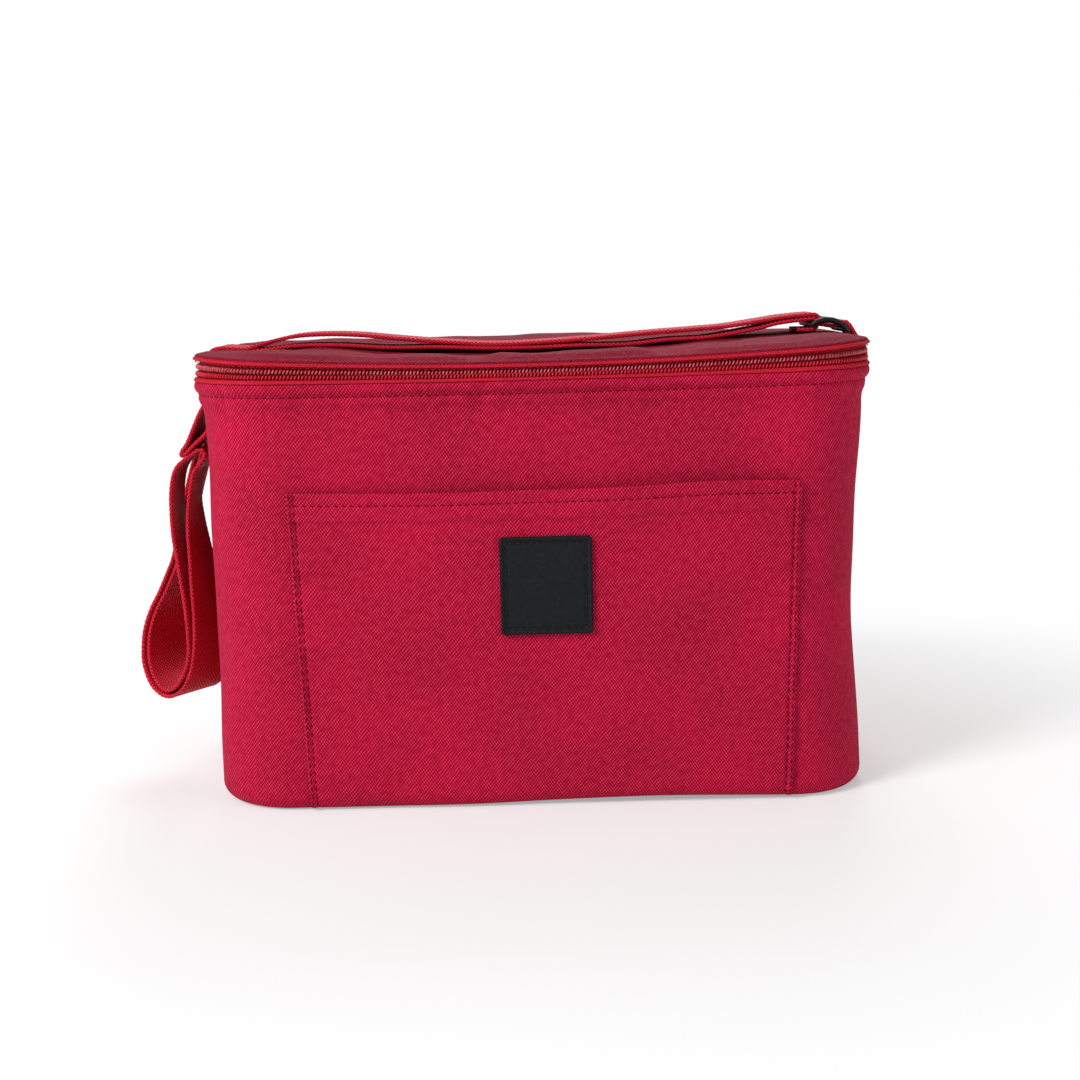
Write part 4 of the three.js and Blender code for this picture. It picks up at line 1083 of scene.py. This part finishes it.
def smooth_path(points, step):
    """A smooth curve through the points, cut into equal steps, with any further columns carried along."""
    points = np.asarray(points, dtype=float)
    ends = np.concatenate([[2 * points[0] - points[1]], points, [2 * points[-1] - points[-2]]])
    pieces = []
    for i in range(1, len(ends) - 2):
        a, b, c, d = ends[i - 1], ends[i], ends[i + 1], ends[i + 2]
        t = np.linspace(0, 1, 24, endpoint=False)[:, None]
        ta = (c - a) * 0.5
        tb = (d - b) * 0.5
        pieces.append(
            b * (2 * t**3 - 3 * t**2 + 1) + ta * (t**3 - 2 * t**2 + t)
            + c * (3 * t**2 - 2 * t**3) + tb * (t**3 - t**2)
        )
    path = np.concatenate([*pieces, points[-1:]])
    steps = np.linalg.norm(np.diff(path[:, :3], axis=0), axis=1)
    length = np.concatenate([[0], np.cumsum(steps)])
    count = max(int(length[-1] / step), 4)
    even = np.linspace(0, length[-1], count + 1)
    return np.stack([np.interp(even, length, path[:, k]) for k in range(path.shape[1])], axis=-1), even


WEB_HALF = 12.5 * MM
WEB_THICK = 1.5 * MM
across_shares = np.array([-0.985, -0.95, -0.88, -0.7, -0.4, 0, 0.4, 0.7, 0.88, 0.95, 0.985])


def strap_piece(name, route, phase=0.0):
    """Webbing along a route of (x, y, z, turn about Z) in millimetres and degrees."""
    route = np.asarray(route, dtype=float) * np.array([MM, MM, MM, math.radians(1)])
    path, length = smooth_path(route, 0.55 * MM)
    tangent = np.gradient(path[:, :3], axis=0)
    tangent /= np.linalg.norm(tangent, axis=1, keepdims=True)
    across = np.stack([np.sin(path[:, 3]), np.cos(path[:, 3]), 0 * path[:, 3]], axis=-1)
    up = np.cross(tangent, across)
    up /= np.linalg.norm(up, axis=1, keepdims=True)
    bump = np.sin(2 * math.pi * length / (2.2 * MM) + phase)
    reach = WEB_HALF * across_shares[None, :]
    edge = smooth(np.abs(across_shares), 0.86, 0.96)[None, :]
    reach = reach * (1 + 0.009 * bump[:, None] * edge)
    rounding = 0.45 * MM * (np.abs(across_shares) > 0.97)[None, :]
    high = WEB_THICK / 2 + 0.07 * MM * edge * (1 + 0.6 * bump[:, None]) - rounding
    flat = path[:, None, :3] + across[:, None, :] * reach[..., None]
    top, bottom = (flat + up[:, None, :] * (side * high)[..., None] for side in (1, -1))
    return loft(name, sheet_loop(top, bottom), length, row_lengths(across_shares * WEB_HALF), webbing)


def lid_height(x):
    """The lid's cloth under the webbing, in millimetres, at its highest across the webbing's width."""
    heights = []
    for side in (-1, 0, 1):
        y = STRAP_Y + side * WEB_HALF
        share = min(max(abs(x) * MM / HALF_WIDTH, abs(y) / HALF_DEPTH), 1)
        z = lid_top(share) + lid_relief(np.array(x * MM), np.array(y), np.array(share))
        heights.append(settle(np.array([x * MM, y, float(z)]))[2] / MM)
    return max(heights)


# The strap's routes are in millimetres. Its line over the lid, how far the webbing's middle lies above
# the lid in each layer and off the side's face, and the bow on which the glide's three bars stand
LINE = 12
LOW_LAYER = 1.2
HIGH_LAYER = 2.9
LAYER_STEP = 1.9
OFF_SIDE = 1.05
BOW_X, BOW_Z, BOW_RADIUS, BOW_TILT = 123.5, 173.3, 10.5, math.radians(10)
GLIDE_PITCH = 7.8


def on_bow(along, out):
    angle = BOW_TILT + along / BOW_RADIUS
    radius = BOW_RADIUS + out
    return (BOW_X + radius * math.sin(angle), BOW_Z + radius * math.cos(angle))


LEFT_BAR = on_bow(-GLIDE_PITCH, 0)


def round_bar(degrees, radius):
    turn = math.radians(degrees)
    return (LEFT_BAR[0] + radius * math.sin(turn), LEFT_BAR[1] + radius * math.cos(turn))


LID_END_X = -124.0
end_low = (LID_END_X, lid_height(LID_END_X) + LOW_LAYER)
end_high = (LID_END_X, end_low[1] + LAYER_STEP)
lower_route = [end_low]
for x in (-112, -98, -80, -60, -40, -20, 0, 20, 40, 58, 74):
    lower_route.append((x, lid_height(x) + LOW_LAYER))
lower_route += [(93.6, lid_height(93.6) + 2.4), (104, lid_height(104) + 4.2)]
lower_route += [round_bar(turn, 2.25) for turn in (-18, 27, 72, 126, 180)]
lower_route.append((LEFT_BAR[0] - 6, LEFT_BAR[1] - 2.25))
strap_lower = strap_piece("strap_lid_lower_webbing", [(x, LINE, z, 0) for x, z in lower_route])
finish_piece(strap_lower, "lid", "webbing", "strap_lid_lower")

# Heights of the upper layer's middle over the lid
upper_heights = [
    (-119, 177.3), (-110, 180.3), (-99, 182.4), (-86, 182.9), (-72, 182.2), (-56, 180.4),
    (-38, 178.6), (-16, 177.0), (6, 177.4), (28, 178.6), (50, 180.1), (68, 181.1), (82, 182.0),
    (96, 183.8), (106, 185.2),
]
upper_route = [end_high]
for x, z in upper_heights:
    upper_route.append((x, max(z, lid_height(x) + HIGH_LAYER)))
upper_route += [round_bar(turn, 4.05) for turn in (-18, 20, 54)]
bow_passes = [
    (-0.46, 0.2), (-0.42, -0.5), (-0.22, -1), (0, -1.03), (0.22, -0.98), (0.45, -0.4), (0.62, 0.44),
    (0.77, 1), (1, 1.08), (1.18, 1.06),
]
upper_route += [on_bow(share * GLIDE_PITCH, out * 2.25) for share, out in bow_passes]
strap_upper = strap_piece(
    "strap_lid_upper_webbing", [(x, LINE, z, 0) for x, z in upper_route], phase=1.0
)
finish_piece(strap_upper, "lid", "webbing", "strap_lid_upper")


def side_face(z):
    """How far out the side's face stands at a height, in millimetres."""
    point = stand_off(np.array(0.0), np.array(1.0), np.array(z * MM))
    return (HALF_WIDTH + float(point)) / MM


ANCHOR_Z = 139.35
ANCHOR_HALF = 9
drop_route = [on_bow(1.18 * GLIDE_PITCH, 2.4), on_bow(1.5 * GLIDE_PITCH, 2.8)]
drop_route += [(140, 172), (140, 163.3), (135, 158)]
for z in (ANCHOR_Z + ANCHOR_HALF, ANCHOR_Z, ANCHOR_Z - ANCHOR_HALF):
    drop_route.append((side_face(z) + OFF_SIDE, z))
strap_drop = strap_piece("strap_drop_webbing", [(x, LINE, z, 0) for x, z in drop_route], phase=2.0)
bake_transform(strap_drop)
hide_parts("strap_drop_right")

# The tab: from its seam under the hem out to its fold and back to the side
TAB_Y = -16
TAB_TOP = 160.35
TAB_REACH = 13.6
TAB_FALL = 23.6
SIDE_X = HALF_WIDTH / MM
tab_shares = [
    (0.16, 0.09), (0.37, 0.29), (0.58, 0.54), (0.8, 0.81), (0.96, 0.94), (1, 1.01), (0.92, 1.02),
    (0.76, 0.93), (0.52, 0.8), (0.28, 0.68),
]
tab_route = [(-side_face(TAB_TOP) - OFF_SIDE, TAB_Y, TAB_TOP, 0)]
for out, fall in tab_shares:
    tab_route.append((-SIDE_X - out * TAB_REACH, TAB_Y, TAB_TOP - fall * TAB_FALL, 0))
for share in (0.52, 0.4):
    z = TAB_TOP - share * TAB_FALL
    tab_route.append((-side_face(z) - OFF_SIDE, TAB_Y, z, 0))
tab = strap_piece("strap_tab_webbing", tab_route)
finish_piece(tab, "body", "webbing", "strap_tab")

# The hanging loop, as distances out from the side, places in Y, heights and turns about Z
first_layer = [
    (4.2, 12, 158, 0), (6.8, 12, 148, 0), (10.6, 12.5, 136, 0), (14.6, 13.5, 124, 0), (18.1, 14.5, 112, 0),
    (20.6, 15.5, 100, 3), (22.6, 16.2, 89, 8), (23.9, 15.9, 83, 13), (27, 14.6, 73.6, 20),
    (29.8, 13, 66.6, 25),
    (31.7, 10.9, 59.4, 28), (32.2, 8.8, 52.9, 30), (31.4, 5.8, 45.8, 32), (28.7, 2.2, 39.3, 33),
    (24.5, -3, 36, 34), (20.2, -7, 35.7, 34), (15.9, -10.8, 39.2, 33), (12.5, -13.9, 45, 31),
    (10.5, -15.6, 52.3, 28), (10.3, -16.4, 59.5, 26), (11.1, -16.6, 67.8, 22), (12.5, -16.4, 77, 18),
    (14.3, -16.2, 86.4, 14), (16.2, -16, 95.6, 9), (18, -16, 103, 4), (19, -16, 111.8, 0),
    (18.7, -16, 120.5, 0), (17.5, -16, 127.5, 0),
]
bight = [
    (15.6, -16, 131.6, 0), (12.9, -16, 134.1, 0), (9.7, -16, 136.3, 0), (6.6, -16, 138.2, 0),
    (4.5, -16, 137.6, 0), (4.4, -16, 135.4, 0), (6.4, -16, 132.6, 0),
]
second_layer = [
    (8.8, -16, 129.6, 0), (10.2, -16, 125, 0), (11.7, -16, 117, 0), (11.7, -16, 106, 5),
    (10.6, -16, 94.3, 10),
    (9.6, -16.2, 82.7, 15), (8.3, -16.6, 71, 20), (7.7, -16.6, 61.5, 25), (8.2, -16, 53, 28),
    (10.1, -14.3, 44.3, 31), (14, -11.5, 37, 33), (19.6, -7.6, 33.2, 34), (25, -3.4, 33.4, 34),
    (30.4, 1.6, 37.2, 33), (33.8, 5.6, 45, 32), (34.6, 8.8, 52.8, 30), (34.1, 11, 59.7, 28),
    (32.1, 13.2, 67.2, 25), (29.3, 14.7, 74.2, 20), (26.1, 16.1, 83.7, 14), (25, 16.3, 89.2, 8),
    (23, 15.6, 100.3, 3), (20.4, 14.6, 112.4, 0), (16.9, 13.6, 124.5, 0), (12.9, 12.6, 136.6, 0),
    (9.1, 12, 148.6, 0), (6.5, 12, 158.4, 0),
]


rim_spots = [(-HALF_WIDTH, STRAP_Y + side * WEB_HALF, 176.95 * MM) for side in (-1, 0, 1)]
rim = max(settle(np.array(spot))[2] for spot in rim_spots) / MM


def over_rim(radius):
    turns = (0, QUARTER * 0.5, QUARTER * 0.9)
    return [(1.25 + radius * math.sin(turn), LINE, rim + radius * math.cos(turn), 0) for turn in turns]


hang_out = [
    *over_rim(2.9), (3.55, LINE, 167.65, 0), *first_layer, *bight,
    *second_layer, (5.65, LINE, 167.65, 0), *over_rim(5.0)[::-1],
]
hang_route = [(end_low[0], LINE, end_low[1], 0)]
hang_route += [(-SIDE_X - out, y, z, turn) for out, y, z, turn in hang_out]
hang_route.append((end_high[0], LINE, end_high[1], 0))
strap_loop = strap_piece("strap_hang_webbing", hang_route)
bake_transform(strap_loop)
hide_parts("strap_hang")


# Strap glide
# Moulded black plastic: three round bars between two bowed rails, with a fine grain.
plastic = plain_surface(
    "glide_plastic", (0.003, 0.003, 0.0035), (0.008, 0.008, 0.009), 900.0,
    {"Roughness": 0.4, "Specular IOR Level": 0.35}, 0.3, 0.04 * MM,
)
BAR_RADIUS = 1.2
RAIL_HALF = 9.0
RAIL_Y = 15.3
RAIL_STEPS = 40
RAIL_SIDES = 12
glide = bmesh.new()
for bar in (-1, 0, 1):
    x, z = on_bow(bar * GLIDE_PITCH, 0)
    rounded_rod(
        glide, BAR_RADIUS * MM, 31.6 * MM, (x * MM, STRAP_Y, z * MM), Matrix.Rotation(QUARTER, 4, "X")
    )
for side in (-1, 1):
    rail = []
    for i in range(RAIL_STEPS + 1):
        along = (i / RAIL_STEPS - 0.5) * 2 * RAIL_HALF
        taper = math.sqrt(max(1 - (abs(along) / RAIL_HALF) ** 8, 0.0))
        ring = []
        for j in range(RAIL_SIDES):
            roll = 2 * math.pi * j / RAIL_SIDES
            cos, sin = math.cos(roll), math.sin(roll)
            square = BAR_RADIUS * max(taper, 0.25) / max(abs(cos), abs(sin)) ** 0.6
            x, z = on_bow(along, square * sin)
            y = STRAP_Y + (side * RAIL_Y + square * cos) * MM
            ring.append(glide.verts.new((x * MM, y, z * MM)))
        rail.append(ring)
    for a, b in zip(rail, rail[1:]):
        for j in range(RAIL_SIDES):
            k = (j + 1) % RAIL_SIDES
            glide.faces.new((a[j], b[j], b[k], a[k]))
    glide.faces.new(rail[0])
    glide.faces.new(rail[-1][::-1])
bmesh.ops.recalc_face_normals(glide, faces=glide.faces)
glide = mesh_from("strap_glide_fine", glide, plastic)
finish_piece(glide, "strap_glide", "strap_plastic", "strap_glide")


# Stitching
# Lock stitches in a thread darker than the cloth, pulled down into it: the hem under the zip,
# the pocket's sides and hem, the back seams, the label, the upper zip tape and the strap's anchors. The
# crimson thread's darkness is painted shade for its needle holes.


def thread_material(name, dark, light):
    finish = {"Roughness": 0.7, "Specular IOR Level": 0.1}
    return plain_surface(name, dark, light, 1500.0, finish, 0.5, 0.08 * MM)


# Painted shade: the crimson thread is much darker than the cloth, for the shade in its needle holes
crimson_thread_shaded = thread_material("crimson_thread_shaded", (0.09, 0.0004, 0.006), (0.19, 0.001, 0.013))
scarlet_thread = thread_material("scarlet_thread", (0.33, 0.002, 0.012), (0.5, 0.006, 0.03))
black_thread = thread_material("black_thread", (0.004, 0.004, 0.005), (0.028, 0.029, 0.031))

stitch_tree, stitch_in = node_group("stitches", ["Pitch", "Stitch", "Thread"])
stitch_line = stitch_in["Geometry"].node(
    "GeometryNodeResampleCurve", {"mode": "LENGTH"},
    {"Curve": stitch_in["Geometry"], "Length": stitch_in["Pitch"]},
)
bead = stitch_line.node("GeometryNodeMeshUVSphere", None, {"Segments": 10, "Rings": 6, "Radius": 0.5})
bead_size = stitch_line.node(
    "ShaderNodeCombineXYZ", None,
    {"X": stitch_in["Stitch"], "Y": stitch_in["Thread"], "Z": stitch_in["Thread"]},
)
stitch_mesh = stitch_line.node("GeometryNodeTransform", None, {"Geometry": bead, "Scale": bead_size})
close_group(stitch_tree, along_curve(stitch_line, stitch_mesh, "AUTO", 0.0), stitch_in["Material"])


def stitching(name, rows, body, material, pitch=3.1, stitch=2.3, thread=0.62):
    made = grow(
        name, curve_object(name + "_lines", rows), stitch_tree,
        {"Pitch": pitch * MM, "Stitch": stitch * MM, "Thread": thread * MM, "Material": material},
    )
    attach(made, body)


def wall_row(first, final, z, inset):
    distance = np.linspace(first, final, 500)
    return wall_points(distance, np.full(len(distance), z * MM), inset * MM)


def wall_column(distance, low, high, inset):
    z = np.linspace(low, high, 160) * MM
    return wall_points(np.full(len(z), distance), z, inset * MM)


def pocket_row(across, up, out):
    return pocket_points(np.asarray(across), np.asarray(up), out * MM)


body_rows = [wall_row(2 * MM, SEAM_RIGHT - 2 * MM, 162.35, 0.05)]
body_rows.append(wall_row(SEAM_RIGHT + 3 * MM, PLAN_TOTAL - 3 * MM, 163.5, 0.05))
for seam in (0, SEAM_RIGHT):
    for side in (-2.2, 2.2):
        body_rows.append(wall_column(seam + side * MM, 6, 166, 0.0))
share = np.linspace(-0.965, 0.965, 300)
body_rows.append(pocket_row(share, np.full(len(share), 0.961), 1.22))
up = np.linspace(0.02, 0.985, 240)
for side in (-1, 1):
    body_rows.append(pocket_row(np.full(len(up), side * 0.9905), up, 1.15))
    body_rows.append(pocket_row(np.full(len(up), side * 0.972), up, 1.2))
stitching("body_stitches", body_rows, "body", crimson_thread_shaded)

label_rows = []
run = np.linspace(-1, 1, 60)
lx, lz = LABEL_HALF_WIDTH - LABEL_CHANNEL, LABEL_HALF_HEIGHT - LABEL_CHANNEL
for side in (-1, 1):
    label_rows.append(label_points(run * lx, np.full(len(run), side * lz), 2.5 * MM))
    label_rows.append(label_points(np.full(len(run), side * lx), run * lz, 2.5 * MM))
stitching("label_stitches", label_rows, "body", black_thread, 2.5, 1.7, 0.6)


def cross_box(place, length, width):
    """The corners and diagonals of a sewn box: place gives a point for shares of length and width."""
    line = np.linspace(-1, 1, 30)
    ones = np.ones(30)
    pairs = [(line, -ones), (line, ones), (-ones, line), (ones, line), (line, line), (line, -line)]
    return [place(a * length / 2, b * width / 2) for a, b in pairs]


def on_drop(a, b):
    z = ANCHOR_Z + a / MM
    out = np.array([side_face(v) for v in np.atleast_1d(z)]) + 1.82
    return np.stack([out * MM, STRAP_Y + b, z * MM], axis=-1)


stitching(
    "drop_stitches", cross_box(on_drop, 15 * MM, 20 * MM), "body", scarlet_thread, 2.4, 1.8, 0.6
)


def on_tab(fall):
    z = TAB_TOP - fall
    y = (TAB_Y + np.linspace(-11, 11, 40)) * MM
    out = side_face(z) + 1.85
    return np.stack([np.full(len(y), -out * MM), y, np.full(len(y), z * MM)], axis=-1)


stitching("tab_stitches", [on_tab(0.6)], "body", scarlet_thread, 2.4, 1.8, 0.6)


tape_run = np.linspace(ZIP_START + 2 * MM, ZIP_FINISH - 2 * MM, 600)
upper_line = wall_points(tape_run, np.full(len(tape_run), 175.3 * MM), 0.55 * MM, 0.0)
stitching("tape_stitches", [upper_line], "lid", scarlet_thread, 2.6, 1.9, 0.4)
